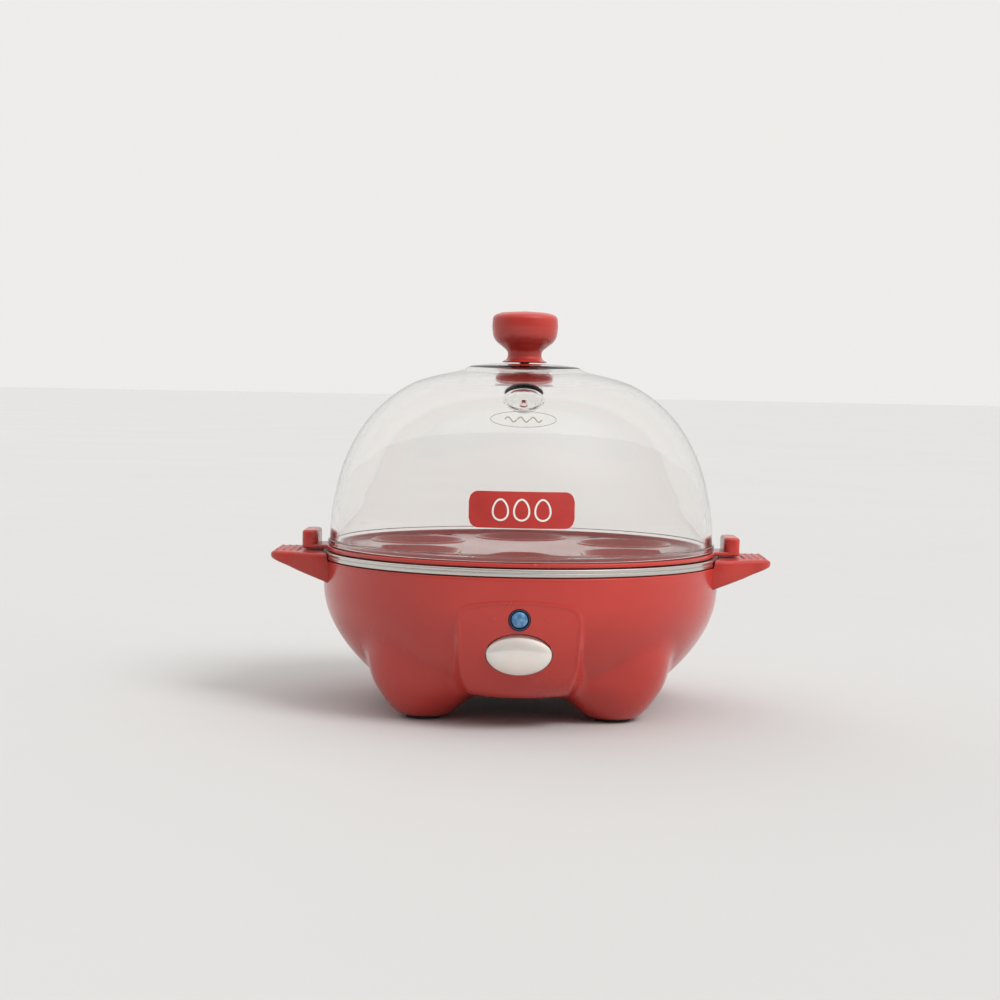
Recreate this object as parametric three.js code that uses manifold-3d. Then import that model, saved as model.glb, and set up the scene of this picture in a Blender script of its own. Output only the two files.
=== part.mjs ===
// Egg cooker for six eggs: red base with a steel heating plate, lift-out egg tray and clear dome lid.
// Millimetres, +Z up. The origin is on the floor at the middle of the footprint; the panel faces -Y.
import * as THREE from 'three';
import { mergeVertices } from 'three/addons/utils/BufferGeometryUtils.js';
import Module from 'manifold-3d';

const wasm = await Module();
wasm.setup();

// Driving dimensions. Heights are above the floor.
const GAP = 0.3; // kept between pieces that touch
const WALL = 2.4; // base shell
const HANDLE_SPAN = 180;
const BOWL_R = 71.4;
const BOWL_TOP = 52.7;
const BOWL_TURN = 44; // the wall is upright above this height
const BOWL_FLOOR = 10;
const BOWL_FLOOR_R = 52.3;
const LEG_OFFSET = 33; // leg axes are at (+-33, +-33)
const LEG_BOTTOM = 1;
const FOOT_R = 6.3;
const FOOT_H = 3.1;
const RIM_R = 71.5; // rolled rim of the heating plate
const RIM_BOTTOM = BOWL_TOP + GAP;
const RIM_TOP = 55.7;
const PLATE_T = 1.2;
const PLATE_FLOOR = 46; // underside of the dish
const TRAY_R = 70.5;
const TRAY_BOTTOM = RIM_TOP + GAP;
const TRAY_T = 1.5;
const TRAY_TOP = TRAY_BOTTOM + TRAY_T;
const SEAT_PITCH_R = 45;
const SEAT_R = 17;
const SEAT_DEPTH = 5.5;
const TAB_OUTER = 79;
const TAB_INNER = 73.3;
const TAB_TOP = 62.7;
const TAB_HALF_WIDTH = 9;
const DOME_R = 69.6;
const DOME_T = 2;
const DOME_BOTTOM = TRAY_TOP + GAP;
const DOME_TOP = 123.9;
const KNOB_TOP = 142.7;
const KNOB_R = 11.9;
const COVER_R = 29.4;
const STAY_PITCH_R = 20;
const BUTTON_Z = 27;
const BUTTON_HALF_W = 10.9;
const BUTTON_HALF_H = 6.9;
const BUTTON_FRONT = -68.2; // edge of the button's crown
const LIGHT_Z = 38.9;
const BOARD_Y = -40;
const GLAND_Z = 24;

const ROUND = 48; // sides of a full turn on the large pieces

const RED = 0xa8231b;
const STEEL = 0xb9b4ac;
const BLACK = 0x1c1b1a;

// --- helpers ---------------------------------------------------------------------------------

// Makes a solid from a closed geometry, with its faces pointing out.
function solid(geometry) {
  const bare = new THREE.BufferGeometry();
  bare.setAttribute('position', geometry.getAttribute('position').clone());
  if (geometry.index) bare.setIndex(geometry.index.clone());
  const merged = mergeVertices(bare, 1e-4);
  const at = merged.getAttribute('position');
  const corners = [];
  let volume = 0;
  const a = new THREE.Vector3();
  const b = new THREE.Vector3();
  const c = new THREE.Vector3();
  for (let i = 0; i < merged.index.count; i += 3) {
    const [p, q, r] = [0, 1, 2].map((k) => merged.index.getX(i + k));
    if (p === q || q === r || r === p) continue;
    corners.push(p, q, r);
    a.fromBufferAttribute(at, p);
    b.fromBufferAttribute(at, q);
    c.fromBufferAttribute(at, r);
    volume += a.dot(b.cross(c));
  }
  if (volume < 0) corners.reverse();
  const vertProperties = new Float32Array(at.array);
  const triVerts = new Uint32Array(corners);
  return new wasm.Manifold(new wasm.Mesh({ numProp: 3, vertProperties, triVerts }));
}

function meshOf(name, body, { colour, roughness = 0.4, metalness = 0, opacity = 1 }) {
  const { vertProperties, triVerts } = body.getMesh();
  const geometry = new THREE.BufferGeometry();
  geometry.setAttribute('position', new THREE.BufferAttribute(vertProperties, 3));
  geometry.setIndex(new THREE.BufferAttribute(triVerts, 1));
  geometry.computeVertexNormals();
  const material = new THREE.MeshStandardMaterial({ color: colour, roughness, metalness });
  material.opacity = opacity;
  material.transparent = opacity < 1;
  const mesh = new THREE.Mesh(geometry, material);
  mesh.name = name;
  return mesh;
}

const v2 = (x, y) => new THREE.Vector2(x, y);
const v3 = (x, y, z) => new THREE.Vector3(x, y, z);

// A closed (radius, height) profile turned about the Z axis.
function turned(profile, segments = ROUND) {
  return solid(new THREE.LatheGeometry(profile, segments).rotateX(Math.PI / 2));
}

// A rod with its axis along Z, Y or X, between two places on that axis.
function rod(radius, from, to, { x = 0, y = 0, z = 0, axis = 'z', segments = 24 } = {}) {
  const geometry = new THREE.CylinderGeometry(radius, radius, to - from, segments);
  const middle = (from + to) / 2;
  if (axis === 'z') geometry.rotateX(Math.PI / 2).translate(x, y, middle);
  if (axis === 'y') geometry.translate(x, middle, z);
  if (axis === 'x') geometry.rotateZ(-Math.PI / 2).translate(middle, y, z);
  return solid(geometry);
}

function box(x0, x1, y0, y1, z0, z1) {
  const geometry = new THREE.BoxGeometry(x1 - x0, y1 - y0, z1 - z0);
  return solid(geometry.translate((x0 + x1) / 2, (y0 + y1) / 2, (z0 + z1) / 2));
}

// An outline drawn as seen from the front (x, z), swept from y0 to y1.
function frontPrism(shape, y0, y1, curveSegments = 8) {
  const options = { depth: y1 - y0, bevelEnabled: false, curveSegments };
  const geometry = new THREE.ExtrudeGeometry(shape, options);
  return solid(geometry.rotateX(Math.PI / 2).translate(0, y1, 0));
}

// An outline drawn as seen from above (x, y), swept from z0 to z1.
function planPrism(shape, z0, z1, curveSegments = 8) {
  const options = { depth: z1 - z0, bevelEnabled: false, curveSegments };
  return solid(new THREE.ExtrudeGeometry(shape, options).translate(0, 0, z0));
}

function ellipse(cx, cy, rx, ry) {
  return new THREE.Shape().absellipse(cx, cy, rx, ry, 0, 2 * Math.PI, false, 0);
}

// A round wire or tube along a curve, with flat ends.
function tube(curve, radius, steps, sides = 8) {
  const section = new THREE.Shape().absarc(0, 0, radius, 0, 2 * Math.PI, false);
  const options = { steps, extrudePath: curve, bevelEnabled: false, curveSegments: sides };
  return solid(new THREE.ExtrudeGeometry(section, options));
}

// Moves each point of an open outline sideways, at right angles to it.
function offset(points, distance) {
  return points.map((point, i) => {
    const before = points[Math.max(i - 1, 0)];
    const after = points[Math.min(i + 1, points.length - 1)];
    const along = after.clone().sub(before).normalize();
    return v2(point.x + along.y * distance, point.y - along.x * distance);
  });
}

function spotsOnCircle(radius, count, startDegrees) {
  return Array.from({ length: count }, (_, i) => {
    const angle = THREE.MathUtils.degToRad(startDegrees + (360 * i) / count);
    return { x: radius * Math.cos(angle), y: radius * Math.sin(angle) };
  });
}

const legSpots = spotsOnCircle(LEG_OFFSET * Math.SQRT2, 4, 45);
const staySpots = spotsOnCircle(STAY_PITCH_R, 3, 90);
const boardScrewSpots = [{ x: -19, z: 36 }, { x: 19, z: 36 }];

// --- base shell ------------------------------------------------------------------------------

// Bowl wall: a parabola from the floor's edge up to where the wall stands upright.
function bowlWall(topR, floorR, floorZ) {
  const middle = (BOWL_TURN + BOWL_FLOOR) / 2;
  const curve = new THREE.QuadraticBezierCurve(v2(floorR, floorZ), v2(topR, middle), v2(topR, BOWL_TURN));
  return curve.getPoints(6);
}

function bowl() {
  const edge = 1.8;
  return turned([
    v2(0, BOWL_FLOOR),
    v2(BOWL_FLOOR_R - 2 * edge, BOWL_FLOOR),
    ...bowlWall(BOWL_R, BOWL_FLOOR_R, BOWL_FLOOR + edge),
    v2(BOWL_R, BOWL_TOP + 2),
    v2(0, BOWL_TOP + 2),
  ]);
}

const LEDGE_Z = 48.7; // the plate's seal stands on this ledge

function bowlSpace() {
  return turned([
    v2(0, BOWL_FLOOR + WALL),
    ...bowlWall(BOWL_R - 3.4, BOWL_FLOOR_R - WALL, BOWL_FLOOR + WALL),
    v2(BOWL_R - 3.4, LEDGE_Z),
    v2(BOWL_R - WALL, LEDGE_Z),
    v2(BOWL_R - WALL, BOWL_TOP + 3),
    v2(0, BOWL_TOP + 3),
  ]);
}

// Legs swell from a small round foot into the bowl; the hollow follows inside at the wall's thickness.
const legCurve = new THREE.SplineCurve([
  v2(8.6, LEG_BOTTOM), v2(12.4, 4.1), v2(15.4, 8), v2(18.4, 14.7), v2(20.6, 24), v2(21, 32),
]);

function leg({ x, y }) {
  const outline = [v2(0, LEG_BOTTOM), ...legCurve.getPoints(6), v2(0, 34)];
  return solid(new THREE.LatheGeometry(outline, 20).rotateX(Math.PI / 2).translate(x, y, 0));
}

function legSpace({ x, y }) {
  const floor = FOOT_H + GAP + 2;
  const inner = offset(legCurve.getPoints(6), -WALL).filter((point) => point.y > floor + 1);
  const outline = [v2(0, floor), v2(inner[0].x - 2, floor), ...inner, v2(0, 34)];
  return solid(new THREE.LatheGeometry(outline, 20).rotateX(Math.PI / 2).translate(x, y, 0));
}

// Front panel: crowned top edge, sides drawing in, and a face that stands proud towards the bottom.
function panelOutline(inset) {
  const top = BOWL_TURN + 1.6 - inset;
  const side = 21.7 - inset;
  const foot = 20 - inset;
  const corner = 3.5;
  const shoulder = top - 2.7;
  const bottom = inset > 0 ? BOWL_FLOOR + WALL : BOWL_FLOOR;
  const shape = new THREE.Shape();
  shape.moveTo(-foot, bottom);
  shape.lineTo(foot, bottom);
  shape.lineTo(side, shoulder - corner);
  shape.quadraticCurveTo(side, shoulder, side - corner, shoulder + 0.7);
  shape.quadraticCurveTo(0, top + 1, -side + corner, shoulder + 0.7);
  shape.quadraticCurveTo(-side, shoulder, -side, shoulder - corner);
  return shape;
}

function panelFace(inset) {
  const topR = 70.9 - inset;
  const footR = 60 - inset;
  const middle = (BOWL_TURN + BOWL_FLOOR) / 2;
  const foot = v2(footR, BOWL_FLOOR);
  const curve = new THREE.QuadraticBezierCurve(foot, v2(topR, middle), v2(topR, BOWL_TURN));
  return turned([v2(0, BOWL_FLOOR), ...curve.getPoints(4), v2(topR, BOWL_TOP), v2(0, BOWL_TOP)]);
}

const HANDLE_TOP = 55.3;
const HANDLE_HALF_WIDTH = 21;
const HANDLE_TIP_HALF_WIDTH = 14;

// Wing handle on the +X side: a wedge seen from the front, a rounded trapezium seen from above.
function handle() {
  const tip = HANDLE_SPAN / 2;
  const side = new THREE.Shape();
  side.moveTo(62, HANDLE_TOP);
  side.lineTo(tip - 1.4, HANDLE_TOP);
  side.quadraticCurveTo(tip, HANDLE_TOP, tip, HANDLE_TOP - 1.4);
  side.quadraticCurveTo(tip, HANDLE_TOP - 2.8, tip - 2, HANDLE_TOP - 3.3);
  side.quadraticCurveTo(75, 47.5, BOWL_R, 44.8);
  side.lineTo(62, 44.8);
  const plan = new THREE.Shape();
  const corner = 6;
  plan.moveTo(60, -HANDLE_HALF_WIDTH);
  plan.lineTo(72, -HANDLE_HALF_WIDTH);
  plan.lineTo(tip - corner, -HANDLE_TIP_HALF_WIDTH - 1);
  plan.quadraticCurveTo(tip, -HANDLE_TIP_HALF_WIDTH, tip, -HANDLE_TIP_HALF_WIDTH + corner);
  plan.lineTo(tip, HANDLE_TIP_HALF_WIDTH - corner);
  plan.quadraticCurveTo(tip, HANDLE_TIP_HALF_WIDTH, tip - corner, HANDLE_TIP_HALF_WIDTH + 1);
  plan.lineTo(72, HANDLE_HALF_WIDTH);
  plan.lineTo(60, HANDLE_HALF_WIDTH);
  let body = frontPrism(side, -30, 30, 3).intersect(planPrism(plan, 40, 60, 3));
  const ridgeR = 0.55;
  for (let i = 0; i < 4; i += 1) {
    const x = 80.6 + 2.4 * i;
    body = body.add(rod(ridgeR, -10, 10, { x, z: HANDLE_TOP, axis: 'y', segments: 6 }));
  }
  return body;
}

function mirrorX(body) {
  const { vertProperties, triVerts } = body.getMesh();
  const flipped = vertProperties.map((value, i) => (i % 3 === 0 ? -value : value));
  const geometry = new THREE.BufferGeometry();
  geometry.setAttribute('position', new THREE.BufferAttribute(flipped, 3));
  geometry.setIndex(new THREE.BufferAttribute(triVerts, 1));
  return solid(geometry);
}

const GLAND_SEAT_Y = 66.5; // flat face that the gland's flange sits on
const GLAND_SEAT_R = 9;

function baseHousing() {
  const panel = frontPrism(panelOutline(0), -80, -45);
  const glandAt = { z: GLAND_Z, axis: 'y' };
  let body = bowl();
  for (const spot of legSpots) body = body.add(leg(spot));
  const wing = handle();
  body = body.add(wing).add(mirrorX(wing));
  body = body.add(panel.intersect(panelFace(0))).subtract(panel.subtract(panelFace(0)));
  body = body.add(rod(GLAND_SEAT_R, 40, GLAND_SEAT_Y, glandAt));
  body = body.subtract(rod(GLAND_SEAT_R, GLAND_SEAT_Y, 80, glandAt));
  body = body.subtract(rod(RIM_R + 0.4, BOWL_TOP, BOWL_TOP + 10, { segments: ROUND }));
  body = body.subtract(bowlSpace());
  for (const spot of legSpots) body = body.subtract(legSpace(spot));
  const panelSpace = frontPrism(panelOutline(WALL), -80, -45).intersect(panelFace(WALL));
  body = body.subtract(panelSpace);
  // Thickened ring round the hatch, with a recess for the bottom cover.
  body = body.add(rod(COVER_R + 3, BOWL_FLOOR + 1, 14, { segments: 36 }));
  body = body.subtract(rod(25, 0, 20, { segments: 36 }));
  body = body.subtract(rod(COVER_R + GAP, 0, 12, { segments: 36 }));
  for (const { x, y } of legSpots) {
    body = body.subtract(rod(FOOT_R + GAP, 0, FOOT_H + GAP, { x, y }));
  }
  for (const { x, z } of boardScrewSpots) {
    body = body.add(rod(3, -66, BOARD_Y - GAP, { x, z, axis: 'y', segments: 12 }));
    body = body.subtract(rod(1.6, -52, BOARD_Y + 1, { x, z, axis: 'y', segments: 12 }));
  }
  const slot = ellipse(0, BUTTON_Z, BUTTON_HALF_W + 0.4, BUTTON_HALF_H + 0.4);
  body = body.subtract(frontPrism(slot, -80, -55, 10));
  body = body.subtract(rod(3.8, -80, -60, { z: LIGHT_Z, axis: 'y' }));
  body = body.subtract(rod(4.6, 40, 80, glandAt));
  return body;
}

function foot({ x, y }) {
  return rod(FOOT_R, 0, FOOT_H, { x, y });
}

function bottomCover() {
  let body = rod(COVER_R, BOWL_FLOOR + 0.2, BOWL_FLOOR + 1.7, { segments: 36 });
  for (const { x, y } of staySpots) body = body.subtract(rod(2.1, 5, 15, { x, y, segments: 16 }));
  return body;
}

function coverScrew({ x, y }) {
  const head = rod(3.4, 8.4, 9.9, { x, y, segments: 16 });
  return head.add(rod(1.6, 9, 20, { x, y, segments: 16 }));
}

function plateStay({ x, y }) {
  const spacer = rod(3.5, 12, PLATE_FLOOR - GAP, { x, y, segments: 6 });
  return spacer.subtract(rod(1.9, 10, 22, { x, y, segments: 16 }));
}

// --- heating -----------------------------------------------------------------------------------

// Shallow dish with a rolled rim, which caps the base shell.
function heatingPlate() {
  const wallR = 67.5; // outside of the dish's wall
  const bend = 3;
  const rimMiddle = (RIM_BOTTOM + RIM_TOP) / 2;
  return turned([
    v2(0, PLATE_FLOOR),
    v2(wallR - bend, PLATE_FLOOR),
    v2(wallR - 0.9, PLATE_FLOOR + 0.9),
    v2(wallR, PLATE_FLOOR + bend),
    v2(wallR, RIM_BOTTOM),
    v2(RIM_R - 0.5, RIM_BOTTOM),
    v2(RIM_R, rimMiddle - 0.6),
    v2(RIM_R, rimMiddle + 0.6),
    v2(RIM_R - 0.5, RIM_TOP - 0.2),
    v2(RIM_R - 1.2, RIM_TOP),
    v2(wallR - 0.2, RIM_TOP),
    v2(wallR - PLATE_T, RIM_TOP - 0.9),
    v2(wallR - PLATE_T, PLATE_FLOOR + bend),
    v2(wallR - 1.9, PLATE_FLOOR + 1.8),
    v2(wallR - bend - 0.3, PLATE_FLOOR + PLATE_T),
    v2(0, PLATE_FLOOR + PLATE_T),
  ]);
}

function plateSeal() {
  const inner = 67.8;
  const outer = BOWL_R - WALL - GAP;
  const low = LEDGE_Z + GAP;
  const high = RIM_BOTTOM - GAP;
  return turned([v2(inner, low), v2(outer, low), v2(outer, high), v2(inner, high), v2(inner, low)], 36);
}

const HEATER_R = 31;
const HEATER_TUBE_R = 3.2;
const HEATER_END_Z = 34;

// C-shaped tube under the plate, open to the rear, its two ends turned down.
function heaterElement() {
  const z = PLATE_FLOOR - GAP - HEATER_TUBE_R;
  const points = [];
  const first = THREE.MathUtils.degToRad(120);
  const sweep = THREE.MathUtils.degToRad(300);
  const steps = 20;
  for (let i = 0; i <= steps; i += 1) {
    const angle = first + (sweep * i) / steps;
    points.push(v3(HEATER_R * Math.cos(angle), HEATER_R * Math.sin(angle), z));
  }
  const start = points[0];
  const end = points[steps];
  const path = new THREE.CatmullRomCurve3([
    v3(start.x + 1.2, start.y + 1, HEATER_END_Z),
    v3(start.x + 1.2, start.y + 1, HEATER_END_Z + 4),
    ...points.slice(1, -1),
    v3(end.x - 1.2, end.y + 1, HEATER_END_Z + 4),
    v3(end.x - 1.2, end.y + 1, HEATER_END_Z),
  ], false, 'centripetal');
  return tube(path, HEATER_TUBE_R, 32, 3);
}

function thermostat() {
  const cup = rod(8, 38, PLATE_FLOOR - GAP);
  return cup.add(rod(6.5, 36, 39));
}

// Spring strap that presses the thermostat up against the plate.
function thermostatStrap() {
  const high = PLATE_FLOOR - GAP;
  const low = 34.6;
  const shape = new THREE.Shape([
    v2(-25, high), v2(-25, high - 1), v2(-17, high - 1), v2(-12, low), v2(12, low), v2(17, high - 1),
    v2(25, high - 1), v2(25, high), v2(16.4, high), v2(11.4, low + 1), v2(-11.4, low + 1), v2(-16.4, high),
  ]);
  return frontPrism(shape, -4, 4);
}

function thermalFuse() {
  const [y, z] = [-14, 43];
  const sleeve = rod(2.2, -6, 6, { y, z, axis: 'x', segments: 16 });
  return sleeve.add(rod(0.7, -9, 9, { y, z, axis: 'x', segments: 8 }));
}

// --- controls ----------------------------------------------------------------------------------

const BOARD_T = 1.6;

function controlBoard() {
  let body = box(-23, 23, BOARD_Y, BOARD_Y + BOARD_T, 15, 41);
  for (const { x, z } of boardScrewSpots) {
    body = body.subtract(rod(1.7, BOARD_Y - 2, BOARD_Y + 4, { x, z, axis: 'y', segments: 12 }));
  }
  return body;
}

function boardScrew({ x, z }) {
  const seat = BOARD_Y + BOARD_T + GAP;
  const head = rod(2.8, seat, seat + 1.8, { x, z, axis: 'y', segments: 12 });
  return head.add(rod(1.25, BOARD_Y - 8, seat + 1, { x, z, axis: 'y', segments: 12 }));
}

const SWITCH_FRONT = -48.5;
const BUTTON_STEM_END = -52;

function pushSwitch() {
  const body = box(-6, 6, SWITCH_FRONT, BOARD_Y - GAP, BUTTON_Z - 6, BUTTON_Z + 6);
  return body.subtract(rod(2, SWITCH_FRONT - 2, -42, { z: BUTTON_Z, axis: 'y', segments: 16 }));
}

function switchPlunger() {
  return rod(1.6, BUTTON_STEM_END + GAP, -47, { z: BUTTON_Z, axis: 'y', segments: 16 });
}

const GUIDE_FRONT = -55;

// U-shaped bracket on the board: the button's stem runs in the hole of its front plate.
function buttonGuide() {
  const plate = 1.6;
  const outer = box(-13, 13, GUIDE_FRONT, BOARD_Y - GAP, BUTTON_Z - 7, BUTTON_Z + 7);
  const space = box(-11.4, 11.4, GUIDE_FRONT + plate, BOARD_Y + 5, BUTTON_Z - 9, BUTTON_Z + 9);
  return outer.subtract(space).subtract(rod(3.4, -60, -50, { z: BUTTON_Z, axis: 'y', segments: 16 }));
}

const FLANGE_BACK = -60;
const FLANGE_T = 1.4;

function powerButton() {
  const crown = new THREE.SphereGeometry(1, 20, 8);
  crown.scale(BUTTON_HALF_W, 1.8, BUTTON_HALF_H).translate(0, BUTTON_FRONT, BUTTON_Z);
  const cap = frontPrism(ellipse(0, BUTTON_Z, BUTTON_HALF_W, BUTTON_HALF_H), BUTTON_FRONT, FLANGE_BACK, 10);
  const rim = ellipse(0, BUTTON_Z, BUTTON_HALF_W + 1.5, BUTTON_HALF_H + 1.5);
  const flange = frontPrism(rim, FLANGE_BACK - FLANGE_T, FLANGE_BACK, 10);
  const stem = rod(3, FLANGE_BACK - 1, BUTTON_STEM_END, { z: BUTTON_Z, axis: 'y', segments: 16 });
  return solid(crown).add(cap).add(flange).add(stem);
}

// Return spring round the stem, between the button's flange and the guide.
function buttonSpring() {
  const wireR = 0.35;
  const turns = 2.5;
  const coilR = 4.6;
  const from = FLANGE_BACK + GAP + wireR;
  const to = GUIDE_FRONT - GAP - wireR;
  const points = [];
  const steps = turns * 10;
  for (let i = 0; i <= steps; i += 1) {
    const angle = (2 * Math.PI * turns * i) / steps;
    const y = from + ((to - from) * i) / steps;
    points.push(v3(coilR * Math.cos(angle), y, BUTTON_Z + coilR * Math.sin(angle)));
  }
  return tube(new THREE.CatmullRomCurve3(points), wireR, 40, 3);
}

function indicatorBezel() {
  const at = { z: LIGHT_Z, axis: 'y' };
  const ring = rod(3.5, -71.1, -66.2, at).add(rod(4.6, -67.3, -66.2, at));
  return ring.subtract(rod(3.05, -75, -60, at));
}

function indicatorLens() {
  const dome = new THREE.SphereGeometry(1, 20, 10).scale(2.75, 0.8, 2.75).translate(0, -70.6, LIGHT_Z);
  return solid(dome).add(rod(2.75, -70.6, -67, { z: LIGHT_Z, axis: 'y', segments: 20 }));
}

function indicatorLed() {
  const lamp = rod(2.4, -65.9, -58, { z: LIGHT_Z, axis: 'y', segments: 16 });
  return lamp.add(rod(1.2, -59, BOARD_Y - GAP, { z: LIGHT_Z, axis: 'y', segments: 6 }));
}

function buzzer() {
  const back = BOARD_Y + BOARD_T + GAP;
  const can = rod(6, back, back + 7, { x: -10, z: 23, axis: 'y' });
  return can.subtract(rod(1, back + 5, back + 9, { x: -10, z: 23, axis: 'y', segments: 12 }));
}

function terminalBlock() {
  let body = box(-12, 12, 36, 48, BOWL_FLOOR + WALL + GAP, 26);
  for (const x of [-6, 6]) body = body.subtract(rod(2.2, 21, 30, { x, y: 44.5, segments: 12 }));
  return body;
}

// Bush through the rear wall; the mains cord that runs through it is not part of the model.
function cordGland() {
  const at = { z: GLAND_Z, axis: 'y' };
  const flange = rod(7, 66.8, 68.6, at);
  const neck = rod(4.2, 58, 68, at);
  return flange.add(neck).subtract(rod(2.9, 50, 75, at));
}

const LEAD_R = 1.2;

function lead(points) {
  const corners = points.map((point) => v3(...point));
  return tube(new THREE.CatmullRomCurve3(corners, false, 'centripetal'), LEAD_R, 16, 2);
}

const leadRoutes = {
  lead_live: [[-6, 40, 26.9], [-8, 38, 31], [-26, 26, 30], [-33, 0, 27], [-28, -24, 25], [-19, -37.3, 24]],
  lead_switched: [[19, -37.3, 24], [28, -24, 25], [33, 0, 27], [27, 24, 29], [19, 30, 28], [14.3, 27.8, 33.3]],
  lead_return: [[-14.3, 27.8, 33.3], [-16, 26, 29], [-13, 15, 28], [-6, 8, 31], [-3, 5.6, 35.6]],
  lead_neutral: [[3, 5.6, 35.6], [6, 8, 31], [9, 17, 28], [8, 32, 31], [6, 40, 26.9]],
};

// --- egg tray ----------------------------------------------------------------------------------

// One dished seat: a sloping ring that holds the egg's blunt end over its open bottom.
function seatRing({ x, y }) {
  const low = TRAY_TOP - SEAT_DEPTH;
  const outline = [
    v2(SEAT_R, TRAY_TOP),
    v2(SEAT_R - 4.6, low),
    v2(SEAT_R - 3, low),
    v2(SEAT_R + 1.2, TRAY_BOTTOM),
    v2(SEAT_R + 1.2, TRAY_TOP),
    v2(SEAT_R, TRAY_TOP),
  ];
  return solid(new THREE.LatheGeometry(outline, 20).rotateX(Math.PI / 2).translate(x, y, 0));
}

function eggTray() {
  let body = rod(TRAY_R, TRAY_BOTTOM, TRAY_TOP, { segments: ROUND });
  // Finger tabs outside the dome.
  const tab = new THREE.Shape();
  const corner = 2.4;
  const w = TAB_HALF_WIDTH;
  tab.moveTo(TAB_INNER, -w);
  tab.lineTo(TAB_OUTER - corner, -w);
  tab.quadraticCurveTo(TAB_OUTER, -w, TAB_OUTER, -w + corner);
  tab.lineTo(TAB_OUTER, w - corner);
  tab.quadraticCurveTo(TAB_OUTER, w, TAB_OUTER - corner, w);
  tab.lineTo(TAB_INNER, w);
  const arm = box(60, TAB_INNER + 1, -w, w, TRAY_BOTTOM, TRAY_TOP);
  const tabAndArm = planPrism(tab, TRAY_BOTTOM, TAB_TOP, 4).add(arm);
  body = body.add(tabAndArm).add(mirrorX(tabAndArm));
  const seats = spotsOnCircle(SEAT_PITCH_R, 6, 30);
  for (const { x, y } of seats) {
    body = body.subtract(rod(SEAT_R + 0.6, TRAY_BOTTOM - 1, TRAY_TOP + 1, { x, y, segments: 20 }));
  }
  for (const seat of seats) body = body.add(seatRing(seat));
  for (const { x, y } of spotsOnCircle(58, 6, 0)) {
    body = body.subtract(rod(2.3, TRAY_BOTTOM - 1, TRAY_TOP + 1, { x, y, segments: 12 }));
  }
  // Low ring that keeps the dome in place.
  const ringR = DOME_R - DOME_T - 0.5;
  const ring = [
    v2(ringR - 1, TRAY_TOP - 0.5), v2(ringR, TRAY_TOP - 0.5), v2(ringR, TRAY_TOP + 1.4),
    v2(ringR - 1, TRAY_TOP + 1.4), v2(ringR - 1, TRAY_TOP - 0.5),
  ];
  return body.add(turned(ring));
}

// --- lid ---------------------------------------------------------------------------------------

const BEAD_H = 1.9;
const PLATEAU_R = 19.5;

// Dome outside, from the top of its bead up to the foot of the raised crown.
const domeCurve = new THREE.SplineCurve([
  v2(DOME_R, DOME_BOTTOM + BEAD_H + 0.5), v2(68, 75), v2(63.2, 91), v2(54, 105.5), v2(40.1, 116.2), v2(23, 121),
]);

function domeOutside() {
  return [...domeCurve.getPoints(8), v2(PLATEAU_R, DOME_TOP - 1.1), v2(12, DOME_TOP - 0.3), v2(0, DOME_TOP)];
}

const VENT_R = 6.4;
const VENT_T = 1.6;
const VENT_Z = 112.6;

function lidDome() {
  const outside = domeOutside();
  const inside = offset(outside.slice(0, -1), -DOME_T);
  const shell = turned([
    v2(DOME_R - DOME_T, DOME_BOTTOM),
    v2(DOME_R + 0.5, DOME_BOTTOM),
    v2(DOME_R + 0.5, DOME_BOTTOM + BEAD_H),
    ...outside,
    v2(0, DOME_TOP - DOME_T),
    ...inside.reverse(),
    v2(DOME_R - DOME_T, DOME_BOTTOM),
  ]);
  // Steam vent: a round dimple pressed into the front of the dome, with a small hole.
  const byHeight = [...outside].sort((p, q) => Math.abs(p.y - VENT_Z) - Math.abs(q.y - VENT_Z));
  const out = v3(0, -0.72, 0.69);
  const centre = v3(0, -byHeight[0].x, byHeight[0].y).addScaledVector(out, 2.4);
  const ball = (radius) => solid(new THREE.SphereGeometry(radius, 14, 8).translate(...centre.toArray()));
  const filled = turned([v2(0, DOME_BOTTOM), v2(DOME_R, DOME_BOTTOM), ...outside]);
  const cup = ball(VENT_R + VENT_T).intersect(filled);
  const hole = new THREE.CylinderGeometry(1.7, 1.7, 30, 12);
  hole.applyQuaternion(new THREE.Quaternion().setFromUnitVectors(v3(0, 1, 0), out));
  hole.translate(centre.x, centre.y, centre.z + 1.5);
  const body = shell.add(cup).subtract(ball(VENT_R)).subtract(solid(hole));
  return body.subtract(rod(2.4, DOME_TOP - 10, DOME_TOP + 5));
}

function lidKnob() {
  const foot = DOME_TOP + GAP;
  const neck = new THREE.SplineCurve([
    v2(8, foot), v2(6.1, foot + 1.6), v2(5.8, foot + 3), v2(7.2, foot + 5.6), v2(10.8, 132.4), v2(KNOB_R, 136.6),
  ]);
  const shoulder = new THREE.QuadraticBezierCurve(v2(KNOB_R, 136.6), v2(KNOB_R - 0.1, 141.3), v2(9, 142.1));
  const outline = [v2(0, foot), ...neck.getPoints(10), ...shoulder.getPoints(4).slice(1), v2(0, KNOB_TOP)];
  return turned(outline, 24).subtract(rod(2.2, foot - 5, 136, { segments: 16 }));
}

const WASHER_TOP = DOME_TOP - DOME_T - 0.7;
const WASHER_T = 2.8;

function knobWasher() {
  const body = rod(10.7, WASHER_TOP - WASHER_T, WASHER_TOP, { segments: 32 });
  return body.subtract(rod(2.4, 100, 130, { segments: 16 }));
}

function knobScrew() {
  const seat = WASHER_TOP - WASHER_T - GAP;
  return rod(3.6, seat - 2, seat, { segments: 16 }).add(rod(1.9, seat - 1, 134, { segments: 16 }));
}

// --- assembly ----------------------------------------------------------------------------------

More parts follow.
